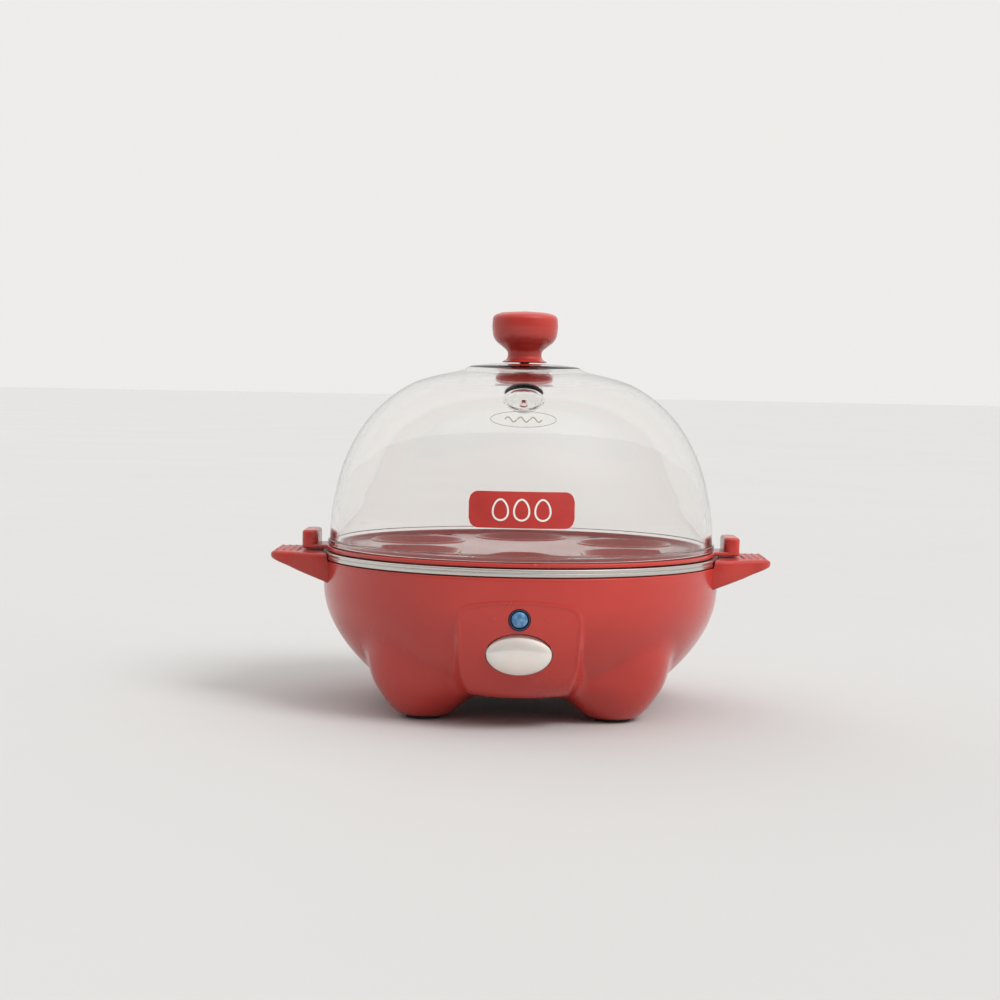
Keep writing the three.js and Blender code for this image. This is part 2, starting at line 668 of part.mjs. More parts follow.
const redPlastic = { colour: RED, roughness: 0.22 };
const steel = { colour: STEEL, roughness: 0.25, metalness: 1 };
const rubber = { colour: BLACK, roughness: 0.8 };
const clear = { colour: 0xf4f1ec, roughness: 0.05, opacity: 0.3 };
const pearl = { colour: 0xd9d3c8, roughness: 0.2, metalness: 0.3 };
const blue = { colour: 0x2f6fb5, roughness: 0.1, opacity: 0.8 };
const darkPlastic = { colour: 0x2a2c30, roughness: 0.5 };
const ceramic = { colour: 0xe6e0d2, roughness: 0.6 };
const wire = { colour: 0xd8d4c8, roughness: 0.5 };
const boardGreen = { colour: 0x1f5a35, roughness: 0.5 };

const base = new THREE.Group();
base.add(meshOf('base_housing', baseHousing(), redPlastic));
base.add(meshOf('bottom_cover', bottomCover(), darkPlastic));
legSpots.forEach((spot, i) => base.add(meshOf(`foot_${i + 1}`, foot(spot), rubber)));
staySpots.forEach((spot, i) => base.add(meshOf(`cover_screw_${i + 1}`, coverScrew(spot), steel)));
staySpots.forEach((spot, i) => base.add(meshOf(`plate_stay_${i + 1}`, plateStay(spot), steel)));
base.add(meshOf('heating_plate', heatingPlate(), steel));
base.add(meshOf('plate_seal', plateSeal(), rubber));
base.add(meshOf('heater_element', heaterElement(), steel));
base.add(meshOf('thermostat', thermostat(), steel));
base.add(meshOf('thermostat_strap', thermostatStrap(), steel));
base.add(meshOf('thermal_fuse', thermalFuse(), ceramic));
base.add(meshOf('control_board', controlBoard(), boardGreen));
boardScrewSpots.forEach((spot, i) => base.add(meshOf(`board_screw_${i + 1}`, boardScrew(spot), steel)));
base.add(meshOf('push_switch', pushSwitch(), darkPlastic));
base.add(meshOf('button_guide', buttonGuide(), darkPlastic));
base.add(meshOf('button_spring', buttonSpring(), steel));
base.add(meshOf('indicator_bezel', indicatorBezel(), darkPlastic));
base.add(meshOf('indicator_lens', indicatorLens(), blue));
base.add(meshOf('indicator_led', indicatorLed(), pearl));
base.add(meshOf('buzzer', buzzer(), darkPlastic));
base.add(meshOf('terminal_block', terminalBlock(), ceramic));
base.add(meshOf('cord_gland', cordGland(), rubber));
for (const [name, route] of Object.entries(leadRoutes)) base.add(meshOf(name, lead(route), wire));

const button = new THREE.Group();
button.add(meshOf('power_button', powerButton(), pearl));
button.add(meshOf('switch_plunger', switchPlunger(), darkPlastic));

const lid = new THREE.Group();
lid.add(meshOf('lid_dome', lidDome(), clear));
lid.add(meshOf('lid_knob', lidKnob(), redPlastic));
lid.add(meshOf('knob_washer', knobWasher(), redPlastic));
lid.add(meshOf('knob_screw', knobScrew(), steel));

const group = new THREE.Group();
group.add(base, button, lid, meshOf('egg_tray', eggTray(), redPlastic));

export default group;
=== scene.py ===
"""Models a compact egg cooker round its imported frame: red base, clear dome, egg tray, steel plate."""
import math

import bmesh
import bpy
import numpy as np
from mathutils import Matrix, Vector


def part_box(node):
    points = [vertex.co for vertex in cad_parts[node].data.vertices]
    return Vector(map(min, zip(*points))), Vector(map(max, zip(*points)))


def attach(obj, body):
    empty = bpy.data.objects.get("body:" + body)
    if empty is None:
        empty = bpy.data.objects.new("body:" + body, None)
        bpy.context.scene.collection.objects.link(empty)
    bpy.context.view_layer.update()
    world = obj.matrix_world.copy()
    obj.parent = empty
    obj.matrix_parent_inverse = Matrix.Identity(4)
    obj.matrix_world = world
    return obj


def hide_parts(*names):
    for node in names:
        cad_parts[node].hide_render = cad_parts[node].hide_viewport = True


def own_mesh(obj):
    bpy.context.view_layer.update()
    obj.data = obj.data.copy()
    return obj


bl_info = {
    "name": "Egg Cooker",
    "version": (1, 0, 0),
    "blender": (4, 5, 0),
    "location": "View3D > Sidebar > Egg Cooker",
    "description": "Builds a compact egg cooker with a clear dome, an egg tray and a steel heating plate",
    "category": "Object",
}

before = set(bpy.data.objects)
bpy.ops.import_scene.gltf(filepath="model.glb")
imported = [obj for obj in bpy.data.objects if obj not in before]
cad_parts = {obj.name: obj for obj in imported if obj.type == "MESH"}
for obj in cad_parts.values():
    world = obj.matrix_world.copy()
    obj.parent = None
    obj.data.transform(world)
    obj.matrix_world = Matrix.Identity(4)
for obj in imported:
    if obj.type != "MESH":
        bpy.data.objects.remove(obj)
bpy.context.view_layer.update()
MM = 0.001  # one millimetre; shapes below are worked out in millimetres


def box_mm(node):
    """Lowest and highest corner of a CAD node, in millimetres."""
    low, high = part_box(node)
    return low / MM, high / MM


SHELL_LOW, SHELL_HIGH = box_mm("base_housing")
PLATE_LOW, PLATE_HIGH = box_mm("heating_plate")
TRAY_LOW, TRAY_HIGH = box_mm("egg_tray")
DOME_LOW, DOME_HIGH = box_mm("lid_dome")
KNOB_LOW, KNOB_HIGH = box_mm("lid_knob")
WASHER_LOW, WASHER_HIGH = box_mm("knob_washer")
SCREW_LOW, SCREW_HIGH = box_mm("knob_screw")
BUTTON_LOW, BUTTON_HIGH = box_mm("power_button")
LENS_LOW, LENS_HIGH = box_mm("indicator_lens")
BEZEL_LOW, BEZEL_HIGH = box_mm("indicator_bezel")
GLAND_LOW, GLAND_HIGH = box_mm("cord_gland")
COVER_LOW, COVER_HIGH = box_mm("bottom_cover")
FOOT_LOW, FOOT_HIGH = box_mm("foot_1")


def length_setting(name, description, millimetres):
    return bpy.props.FloatProperty(
        name=name, description=description, default=millimetres * MM, unit="LENGTH")


def colour_setting(name, description, colour):
    return bpy.props.FloatVectorProperty(
        name=name, description=description, default=colour, size=4, subtype="COLOR", min=0.0, max=1.0)


class CookerSizes(bpy.types.PropertyGroup):
    """Sizes that shape the visible pieces."""

    bowl_radius: length_setting("Bowl radius", "Radius of the base where its wall stands upright", 71.4)
    bowl_turn: length_setting("Bowl turn", "Height at which the base's wall starts to curve in", 44.0)
    bowl_floor: length_setting("Bowl floor", "Height of the base's underside between the legs", 10.0)
    leg_spread: length_setting("Leg spread", "Distance of each leg's axis from the two middle planes",
                               (FOOT_LOW.x + FOOT_HIGH.x) / 2)
    dome_thickness: length_setting("Dome thickness", "Wall thickness of the clear dome", 2.0)
    label_width: length_setting("Label width", "Width of the red block printed on the dome", 35.0)
    label_height: length_setting("Label height", "Height of the red block printed on the dome", 12.0)


class CookerColours(bpy.types.PropertyGroup):
    """Colours of the finishes."""

    shell_red: colour_setting("Shell red", "Red of the base, tray, washer and knob",
                              (0.50, 0.034, 0.024, 1.0))
    steel: colour_setting("Steel", "Colour of the heating plate and its rim", (0.66, 0.64, 0.61, 1.0))
    pearl: colour_setting("Pearl", "Colour of the push button", (0.80, 0.77, 0.73, 1.0))
    lens_blue: colour_setting("Lens blue", "Colour of the indicator lens", (0.05, 0.2, 0.44, 1.0))
    floor: colour_setting("Floor", "Colour of the floor", (0.532, 0.529, 0.528, 1.0))


def sizes():
    return bpy.context.scene.cooker_sizes


def colours():
    return bpy.context.scene.cooker_colours


# --- shader node groups ---------------------------------------------------------------------------


def shader_group(name, **inputs):
    """Marks a function that wires a shader group, so that the group is built only once.

    The function gets the group and the sockets of its inputs, and returns a socket for each output.
    """
    def mark(wire):
        def built():
            if name in bpy.data.node_groups:
                return bpy.data.node_groups[name]
            group = bpy.data.node_groups.new(name, "ShaderNodeTree")
            for label, value in inputs.items():
                socket = group.interface.new_socket(
                    name=label, in_out="INPUT", socket_type="NodeSocketFloat")
                socket.default_value = value
            outputs = wire(group, group.nodes.new("NodeGroupInput").outputs)
            for label in outputs:
                group.interface.new_socket(name=label, in_out="OUTPUT", socket_type="NodeSocketFloat")
            result = group.nodes.new("NodeGroupOutput")
            for label, socket in outputs.items():
                group.links.new(socket, result.inputs[label])
            return group
        return built
    return mark


def feed(tree, socket, value):
    """Gives a socket a number, or links another socket to it."""
    if isinstance(value, (int, float)):
        socket.default_value = value
    else:
        tree.links.new(value, socket)


def math_node(tree, operation, *values):
    """A Math node; each value is a number or a socket to link."""
    node = tree.nodes.new("ShaderNodeMath")
    node.operation = operation
    for socket, value in zip(node.inputs, values):
        feed(tree, socket, value)
    return node.outputs[0]


def map_range(tree, *values):
    """A Map Range node: the value, its low and high, and the low and high that they become."""
    node = tree.nodes.new("ShaderNodeMapRange")
    for socket, value in zip(node.inputs, values):
        feed(tree, socket, value)
    return node.outputs[0]


def noise(tree, vector, scale, detail=3.0, roughness=0.5):
    node = tree.nodes.new("ShaderNodeTexNoise")
    node.inputs["Detail"].default_value = detail
    node.inputs["Roughness"].default_value = roughness
    feed(tree, node.inputs["Vector"], vector)
    feed(tree, node.inputs["Scale"], scale)
    return node.outputs["Fac"]


def object_place(tree):
    return tree.nodes.new("ShaderNodeTexCoord").outputs["Object"]


def separated(tree, vector):
    """The X, Y and Z of a vector."""
    split = tree.nodes.new("ShaderNodeSeparateXYZ")
    tree.links.new(vector, split.inputs[0])
    return split.outputs


@shader_group("Handling Marks", Scale=40.0, Low=0.15, High=0.3)
def handling_marks(group, given):
    """Soft smudges: a roughness that wanders between a low and a high value."""
    place = object_place(group)
    broad = noise(group, place, given["Scale"], 4.0, 0.6)
    fine = noise(group, place, math_node(group, "MULTIPLY", given["Scale"], 9.0), 2.0, 0.5)
    both = math_node(group, "ADD", math_node(group, "MULTIPLY", broad, 0.75),
                     math_node(group, "MULTIPLY", fine, 0.25))
    return {"Roughness": map_range(group, both, 0.35, 0.65, given["Low"], given["High"])}


@shader_group("Mould Grain", Scale=900.0)
def mould_grain(group, given):
    """Fine pitting of a moulded or cast skin over a slower wave, as a height."""
    place = object_place(group)
    fine = noise(group, place, given["Scale"], 2.0, 0.55)
    wave = noise(group, place, math_node(group, "MULTIPLY", given["Scale"], 0.08), 1.0, 0.4)
    return {"Height": math_node(group, "ADD", math_node(group, "MULTIPLY", fine, 0.35), wave)}


@shader_group("Edge Wear", Start=0.6, End=0.85, Scale=300.0)
def edge_wear(group, given):
    """A mask of rubbed outer edges, broken up by noise."""
    point = group.nodes.new("ShaderNodeNewGeometry").outputs["Pointiness"]
    edge = map_range(group, point, given["Start"], given["End"], 0.0, 1.0)
    broken = noise(group, object_place(group), given["Scale"], 3.0, 0.6)
    return {"Mask": math_node(group, "MULTIPLY", edge, map_range(group, broken, 0.35, 0.6, 0.0, 1.0))}


@shader_group("Settled Dust", Amount=0.1, Scale=60.0)
def settled_dust(group, given):
    """A faint mask on faces that look up, heavier in patches."""
    normal = group.nodes.new("ShaderNodeNewGeometry").outputs["Normal"]
    up = map_range(group, separated(group, normal)["Z"], 0.3, 1.0, 0.0, 1.0)
    patches = map_range(group, noise(group, object_place(group), given["Scale"], 4.0, 0.6),
                        0.35, 0.7, 0.2, 1.0)
    both = math_node(group, "MULTIPLY", up, patches)
    return {"Mask": math_node(group, "MULTIPLY", both, given["Amount"])}


@shader_group("Turned Lines", Pitch=0.0006, Wander=0.3)
def turned_lines(group, given):
    """Rings round the upright middle axis, as a lathe or a spinning press leaves them."""
    place = object_place(group)
    split = separated(group, place)
    squares = math_node(group, "ADD", math_node(group, "POWER", split["X"], 2.0),
                        math_node(group, "POWER", split["Y"], 2.0))
    turns = math_node(group, "DIVIDE", math_node(group, "SQRT", squares), given["Pitch"])
    drift = math_node(group, "MULTIPLY", noise(group, place, 30.0, 2.0), given["Wander"])
    phase = math_node(group, "MULTIPLY", math_node(group, "ADD", turns, drift), 2 * math.pi)
    ring_noise = group.nodes.new("ShaderNodeTexNoise")
    ring_noise.noise_dimensions = "1D"
    ring_noise.inputs["Scale"].default_value = 1.0
    ring_noise.inputs["Detail"].default_value = 4.0
    group.links.new(math_node(group, "MULTIPLY", turns, 0.35), ring_noise.inputs["W"])
    return {"Height": math_node(group, "SINE", phase), "Streak": ring_noise.outputs["Fac"]}


# --- materials ------------------------------------------------------------------------------------


class Finish:
    """A material with one Principled shader, and short ways to wire the shared groups to it."""

    def __init__(self, name, colour, roughness, metallic=0.0, **inputs):
        self.material = bpy.data.materials.new(name)
        self.material.use_nodes = True
        self.tree = self.material.node_tree
        self.shader = self.tree.nodes["Principled BSDF"]
        self.shader.inputs["Base Color"].default_value = colour
        self.shader.inputs["Roughness"].default_value = roughness
        self.shader.inputs["Metallic"].default_value = metallic
        for label, value in inputs.items():
            self.shader.inputs[label.replace("_", " ")].default_value = value
        self.colour = None
        self.material.diffuse_color = colour

    def group(self, tree, **inputs):
        node = self.tree.nodes.new("ShaderNodeGroup")
        node.node_tree = tree
        for label, value in inputs.items():
            node.inputs[label].default_value = value
        return node

    def tint(self, mask, colour, strength=1.0):
        """Lays another colour over the base colour where the mask is high."""
        mix = self.tree.nodes.new("ShaderNodeMix")
        mix.data_type = "RGBA"
        if self.colour is None:
            mix.inputs["A"].default_value = self.shader.inputs["Base Color"].default_value
        else:
            self.tree.links.new(self.colour, mix.inputs["A"])
        mix.inputs["B"].default_value = colour
        self.tree.links.new(math_node(self.tree, "MULTIPLY", mask, strength), mix.inputs["Factor"])
        self.colour = mix.outputs["Result"]
        self.tree.links.new(self.colour, self.shader.inputs["Base Color"])

    def marks(self, low, high, scale=40.0):
        node = self.group(handling_marks(), Scale=scale, Low=low, High=high)
        self.tree.links.new(node.outputs["Roughness"], self.shader.inputs["Roughness"])

    def bump(self, height, distance, strength=0.5):
        node = self.tree.nodes.new("ShaderNodeBump")
        node.inputs["Distance"].default_value = distance
        node.inputs["Strength"].default_value = strength
        self.tree.links.new(height, node.inputs["Height"])
        self.tree.links.new(node.outputs["Normal"], self.shader.inputs["Normal"])

    def grain(self, scale, distance, strength=0.5):
        node = self.group(mould_grain(), Scale=scale)
        self.bump(node.outputs["Height"], distance, strength)

    def cloud(self, colour, scale, strength):
        """A slow drift of colour across the piece."""
        drift = noise(self.tree, object_place(self.tree), scale, 3.0, 0.55)
        self.tint(map_range(self.tree, drift, 0.4, 0.65, 0.0, 1.0), colour, strength)

    def worn(self, colour, strength=0.5):
        self.tint(self.group(edge_wear()).outputs["Mask"], colour, strength)

    def dusty(self, amount):
        self.tint(self.group(settled_dust(), Amount=amount).outputs["Mask"], (0.75, 0.72, 0.68, 1.0))

    def texture(self, kind, **inputs):
        """A texture node laid out from the piece's own place."""
        node = self.tree.nodes.new(kind)
        for label, value in inputs.items():
            node.inputs[label.replace("_", " ")].default_value = value
        self.tree.links.new(object_place(self.tree), node.inputs["Vector"])
        return node.outputs


def shade(colour, factor):
    return tuple(c * factor for c in colour[:3]) + (1.0,)


def made_once(title):
    """Marks a function that makes a finish, so that the material of each name is made on first use."""
    def mark(make):
        def material(name=title):
            return bpy.data.materials.get(name) or make(name).material
        return material
    return mark


@made_once("Glossy red plastic")
def red_plastic(name):
    red = tuple(colours().shell_red)
    finish = Finish(name, red, 0.22, Coat_Weight=0.25, Coat_Roughness=0.08)
    finish.cloud(shade(red, 0.86), 26.0, 0.6)
    finish.worn((0.66, 0.09, 0.06, 1.0), 0.3)
    finish.dusty(0.02)
    finish.marks(0.17, 0.28, 45.0)
    finish.grain(420.0, 0.00002, 0.22)
    return finish


@made_once("Grained red plastic")
def red_grip(name):
    red = tuple(colours().shell_red)
    # The handles take the shell's red darkened a little: painted shade, on top of their real grain.
    finish = Finish(name, shade(red, 0.92), 0.34, Coat_Weight=0.1, Coat_Roughness=0.2)
    finish.cloud(shade(red, 0.8), 60.0, 0.6)
    finish.worn((0.74, 0.14, 0.1, 1.0), 0.5)
    finish.marks(0.26, 0.42, 90.0)
    finish.grain(1600.0, 0.00012, 0.7)
    return finish


@made_once("Clear dome plastic")
def clear_plastic(name):
    finish = Finish(name, (0.985, 0.98, 0.97, 1.0), 0.015, Transmission_Weight=1.0, IOR=1.46)
    finish.marks(0.008, 0.035, 22.0)
    finish.grain(60.0, 0.00003, 0.12)
    return finish


@made_once("Polished rim steel")
def polished_steel(name):
    steel = tuple(colours().steel)
    finish = Finish(name, steel, 0.16, 1.0)
    lines = finish.group(turned_lines(), Pitch=0.0011, Wander=0.8)
    finish.tint(lines.outputs["Streak"], shade(steel, 0.8), 0.2)
    finish.marks(0.12, 0.24, 70.0)
    finish.grain(500.0, 0.00001, 0.3)
    return finish


@made_once("Turned dish steel")
def dish_steel(name):
    steel = tuple(colours().steel)
    finish = Finish(name, shade(steel, 0.95), 0.28, 1.0, Anisotropic=0.5)
    lines = finish.group(turned_lines(), Pitch=0.0007, Wander=0.25)
    finish.tint(lines.outputs["Streak"], shade(steel, 0.7), 0.5)
    finish.cloud((0.55, 0.47, 0.36, 1.0), 28.0, 0.35)
    finish.marks(0.22, 0.42, 55.0)
    finish.bump(lines.outputs["Height"], 0.00002, 0.5)
    return finish


@made_once("Pearl plastic")
def pearl_plastic(name):
    pearl = tuple(colours().pearl)
    finish = Finish(name, pearl, 0.24, 0.4, Coat_Weight=0.4, Coat_Roughness=0.05)
    # The pink drift is a painted reflection of the red shell round the button, laid on at random.
    finish.cloud((0.82, 0.66, 0.6, 1.0), 90.0, 0.6)
    finish.worn((0.92, 0.9, 0.87, 1.0), 0.3)
    finish.marks(0.16, 0.28, 80.0)
    finish.grain(1100.0, 0.00001, 0.3)
    return finish


@made_once("Blue lens")
def blue_lens(name):
    blue = tuple(colours().lens_blue)
    finish = Finish(name, blue, 0.12, Transmission_Weight=0.2, Coat_Weight=0.6)
    dimples_and_glints = finish.texture("ShaderNodeTexVoronoi", Scale=850.0)["Distance"]
    # The lighter blue in the middle of each dimple is a painted highlight; the dimples' shape comes from the
    # bump below.
    finish.tint(map_range(finish.tree, dimples_and_glints, 0.0, 0.7, 1.0, 0.0), (0.35, 0.62, 0.85, 1.0), 0.6)
    finish.marks(0.06, 0.16, 200.0)
    finish.bump(dimples_and_glints, 0.00025, 0.6)
    return finish


def plain_finish(name, colour, low, high, metallic=0.0, grain=900.0, depth=0.00004, lighter=1.3):
    """A moulded, cast or drawn finish with drifting colour, rubbed edges, smudges and fine grain."""
    if name in bpy.data.materials:
        return bpy.data.materials[name]
    finish = Finish(name, colour, low, metallic)
    finish.cloud(shade(colour, 0.78), 120.0, 0.6)
    finish.worn(shade(colour, lighter), 0.5)
    finish.marks(low, high, 90.0)
    finish.grain(grain, depth, 0.5)
    return finish.material


def fastener_steel():
    return plain_finish("Zinc plated steel", (0.62, 0.62, 0.6, 1.0), 0.22, 0.42, 1.0, 1500.0, 0.00001)


def dark_plastic():
    return plain_finish("Dark grained plastic", (0.045, 0.045, 0.05, 1.0), 0.38, 0.6, lighter=2.2)


def rubber():
    return plain_finish("Black rubber", (0.035, 0.034, 0.033, 1.0), 0.6, 0.85, grain=1400.0, depth=0.00006,
                        lighter=2.4)


# --- mesh tools -----------------------------------------------------------------------------------


def put(name, vertices, faces, *materials, sharp=32.0):
    """Makes a mesh object from millimetre points, with its faces pointing out and hard edges kept."""
    mesh = bpy.data.meshes.new(name)
    mesh.from_pydata([tuple(c * MM for c in v) for v in vertices], [], faces)
    work = bmesh.new()
    work.from_mesh(mesh)
    bmesh.ops.remove_doubles(work, verts=work.verts, dist=1e-6)
    bmesh.ops.recalc_face_normals(work, faces=work.faces)
    work.to_mesh(mesh)
    work.free()
    for material in materials:
        mesh.materials.append(material)
    piece = bpy.data.objects.new(name, mesh)
    bpy.context.scene.collection.objects.link(piece)
    smooth(piece, sharp)
    return piece


def smooth(piece, sharp=32.0):
    piece.data.shade_smooth()
    piece.data.set_sharp_from_angle(angle=math.radians(sharp))


def finish_piece(piece, body, slot, *nodes):
    """The piece rides a body and stands for CAD nodes; its slot is not used."""
    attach(piece, body)
    if nodes:
        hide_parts(*nodes)
    return piece


def boolean(piece, other, operation="DIFFERENCE", sharp=32.0):
    """Cuts or joins with another mesh object, which is used up."""
    modifier = piece.modifiers.new("Cut", "BOOLEAN")
    modifier.object = other
    modifier.operation = operation
    modifier.solver = "EXACT"
    graph = bpy.context.evaluated_depsgraph_get()
    mesh = bpy.data.meshes.new_from_object(piece.evaluated_get(graph))
    piece.modifiers.clear()
    piece.data = mesh
    bpy.data.objects.remove(other)
    smooth(piece, sharp)
    return piece


def joined(shapes):
    """Several (vertices, faces) as one."""
    vertices, faces = [], []
    for more_vertices, more_faces in shapes:
        start = len(vertices)
        vertices.extend(more_vertices)
        faces.extend([[i + start for i in face] for face in more_faces])
    return vertices, faces


def bridged(rings, closed=False):
    """Faces between rings of vertex numbers; a ring of one vertex is a pole."""
    faces = []
    pairs = list(zip(rings, rings[1:]))
    if closed:
        pairs.append((rings[-1], rings[0]))
    for low, high in pairs:
        count = max(len(low), len(high))
        for i in range(count):
            j = (i + 1) % count
            corners = [low[i % len(low)], low[j % len(low)], high[j % len(high)], high[i % len(high)]]
            face = list(dict.fromkeys(corners))
            if len(face) > 2:
                faces.append(face)
    return faces


def circle(count):
    """Cosine and sine of even steps round a full turn."""
    return [(math.cos(a), math.sin(a)) for a in (2 * math.pi * i / count for i in range(count))]


def ring_numbers(rings, count):
    """Vertex numbers of rings that all have the same length."""
    return [list(range(i * count, (i + 1) * count)) for i in range(rings)]


def revolved(profile, segments=96, closed=False):
    """Turns (radius, height) points about the Z axis."""
    vertices, rings = [], []
    for radius, height in profile:
        count = 1 if radius < 1e-6 else segments
        rings.append(range(len(vertices), len(vertices) + count))
        vertices += [(radius * cos, radius * sin, height) for cos, sin in circle(count)]
    return vertices, bridged([list(ring) for ring in rings], closed)


def lofted(rings):
    """Joins rings of equal length into a tube with its ends closed."""
    vertices = [point for ring in rings for point in ring]
    numbers = ring_numbers(len(rings), len(rings[0]))
    faces = bridged(numbers)
    faces.append(numbers[0][::-1])
    faces.append(numbers[-1])
    return vertices, faces


def moved(shape, x, y):
    vertices, faces = shape
    return [(a + x, b + y, c) for a, b, c in vertices], faces


def to_front(shape, z):
    """Lays an upright turned shape down so that its height runs along Y, at height z."""
    vertices, faces = shape
    return [(a, c, b + z) for a, b, c in vertices], faces


def oval_ring(rx, rz, y, z, count=96):
    """An upright oval that faces the front, at height z."""
    return [(rx * cos, y, z + rz * sin) for cos, sin in circle(count)]


def prism_front(rx, rz, z, y0, y1, count=96):
    """An oval rod along Y, at height z."""
    return lofted([oval_ring(rx, rz, y, z, count) for y in (y0, y1)])


def rounded(corners, closed=False, steps=5):
    """Rounds the corners of a profile; each corner is (x, y, radius)."""
    result = []
    last = len(corners) - 1
    for i, (x, y, radius) in enumerate(corners):
        here = Vector((x, y))
        if radius == 0 or (not closed and i in (0, last)):
            result.append(here)
            continue
        before = Vector(corners[i - 1][:2]) - here
        after = Vector(corners[(i + 1) % len(corners)][:2]) - here
        reach = radius / math.tan(before.angle(after) / 2)
        reach = min(reach, 0.49 * before.length, 0.49 * after.length)
        start = here + before.normalized() * reach
        end = here + after.normalized() * reach
        for step in range(steps + 1):
            t = step / steps
            result.append(start * (1 - t) ** 2 + here * 2 * t * (1 - t) + end * t ** 2)
    return result


def smooth_curve(keys, steps):
    """A Catmull-Rom curve through the key points, `steps` points to each stretch."""
    points = [Vector(key) for key in keys]
    result = []
    for i in range(len(points) - 1):
        p0, p1 = points[max(i - 1, 0)], points[i]
        p2, p3 = points[i + 1], points[min(i + 2, len(points) - 1)]
        for step in range(steps):
            t = step / steps
            a = (p2 - p0) * 0.5
            b = (p3 - p1) * 0.5
            result.append(p1 + a * t + (p2 * 3 - p1 * 3 - a * 2 - b) * t ** 2
                          + (p1 * 2 - p2 * 2 + a + b) * t ** 3)
    result.append(points[-1])
    return result


def spaced(points, step):
    """Points at even distances along a polyline; step may depend on the point."""
    result = [points[0]]
    left = 0.0
    for a, b in zip(points, points[1:]):
        length = (b - a).length
        at = left
        gap = step(a) if callable(step) else step
        while at + gap < length:
            at += gap
            result.append(a.lerp(b, at / length))
        left = at - length
    if (points[-1] - result[-1]).length > 0.05:
        result.append(points[-1])
    return result


def offset_line(points, distance):
    """Moves each point of an open line sideways."""
    result = []
    for i, point in enumerate(points):
        along = (points[min(i + 1, len(points) - 1)] - points[max(i - 1, 0)]).normalized()
        result.append(point + Vector((along.y, -along.x)) * distance)
    return result


def round_angles(coarse, fine, half_width):
    """Angles of a full turn, closer together round the front."""
    front = math.radians(-90)
    half = math.radians(half_width)
    fine_count = round(2 * half_width / fine)
    coarse_count = round((360 - 2 * half_width) / coarse)
    angles = [front - half + 2 * half * i / fine_count for i in range(fine_count)]
    rest = 2 * math.pi - 2 * half
    angles += [front + half + rest * i / coarse_count for i in range(coarse_count)]
    return np.array(angles)


# --- base shell -----------------------------------------------------------------------------------

HATCH_R = COVER_HIGH.x + 0.3
LEG_BOTTOM = SHELL_LOW.z
RIM_SEAT = PLATE_LOW.z + 6.7  # top edge of the shell, under the plate's rim
BUTTON_Z = (BUTTON_LOW.z + BUTTON_HIGH.z) / 2
LIGHT_Z = (LENS_LOW.z + LENS_HIGH.z) / 2
GLAND_Z = (GLAND_LOW.z + GLAND_HIGH.z) / 2
PAD_Y, PAD_R = 66.5, 9.0  # flat seat of the cord gland in the rear wall
BOWL_CURVE = 0.0175  # how fast the wall draws in below its turn
LEG_R, LEG_ROUND_FROM = 21.0, 32.0
PANEL_R, PANEL_CURVE = 71.15, 0.0095
PANEL_HALF, PANEL_TOP, PANEL_CROWN = 20.0, 45.7, 2.7
LIP_RISE, LIP_WIDTH = 0.32, 0.65


def soft_min(a, b, reach):
    """The lower of two fields, with a fillet where they meet."""
    near = np.clip(reach - np.abs(a - b), 0, None) / reach
    return np.minimum(a, b) - near * near * reach / 4


def soft_max(a, b, reach):
    """The higher of two fields, with a rounded edge where they meet."""
    return -soft_min(-a, -b, reach)


def soft_step(value, low, high):
    """Zero below low, one above high, and a smooth rise between them."""
    t = np.clip((value - low) / (high - low), 0, 1)
    return t * t * (3 - 2 * t)


def bowl_radius(z):
    drop = np.clip(sizes().bowl_turn / MM - z, 0, None)
    return sizes().bowl_radius / MM - BOWL_CURVE * drop ** 2


def leg_radius(z):
    drop = np.clip(LEG_ROUND_FROM - z, 0, None)
    return LEG_R * np.sqrt(np.clip(1 - (drop / 34) ** 2, 0.01, 1))


def panel_edge(x, z):
    """Distance outside the front panel's outline: crowned top, sides drawing in downwards."""
    side = np.abs(x) - (PANEL_HALF + 1.7 * (z - 10) / 33)
    top = z - (PANEL_TOP - PANEL_CROWN * (x / 21.7) ** 2)
    return soft_max(side, top, 5.0)


def panel_radius(z, edge):
    """Radius of the panel's face, with a low lip inside its outline that fades out downwards."""
    drop = np.clip(sizes().bowl_turn / MM - z, 0, None)
    lip = LIP_RISE * np.exp(-((edge + 1.0) / LIP_WIDTH) ** 2) * soft_step(z, 14, 26)
    return PANEL_R - PANEL_CURVE * drop ** 2 + lip


def shell_field(x, y, z):
    """Below zero inside the base shell, above zero outside."""
    floor = sizes().bowl_floor / MM
    spread = sizes().leg_spread / MM
    r = np.hypot(x, y)
    body = soft_max(r - bowl_radius(z), floor - z, 4.0)
    low = 1 - soft_step(z, 12, 25)
    edge = panel_edge(x, z)
    inside = 1 - soft_step(edge, -1.1 - 2.6 * low, 0.8 + 3.6 * low)
    face = soft_max(r - panel_radius(z, edge), floor + 0.9 * (x / 18) ** 2 - z, 8.0)
    body = np.where(y < 0, body * (1 - inside) + face * inside, body)
    reach = 12 - 10.2 * soft_step(z, 10, 22)
    for sx in (-1, 1):
        for sy in (-1, 1):
            leg = np.hypot(x - sx * spread, y - sy * spread) - leg_radius(z)
            body = soft_min(body, soft_max(leg, LEG_BOTTOM - z, 1.6), reach)
    from_gland = np.hypot(x, z - GLAND_Z)
    pad = soft_max(from_gland - PAD_R, y - PAD_Y, 0.8)
    body = np.where(y > 0, soft_min(body, pad, 3.0), body)
    above_pad = soft_max(from_gland - PAD_R + 0.2, PAD_Y - y, 0.4)
    return np.where(y > 0, soft_max(body, -above_pad, 0.6), body)


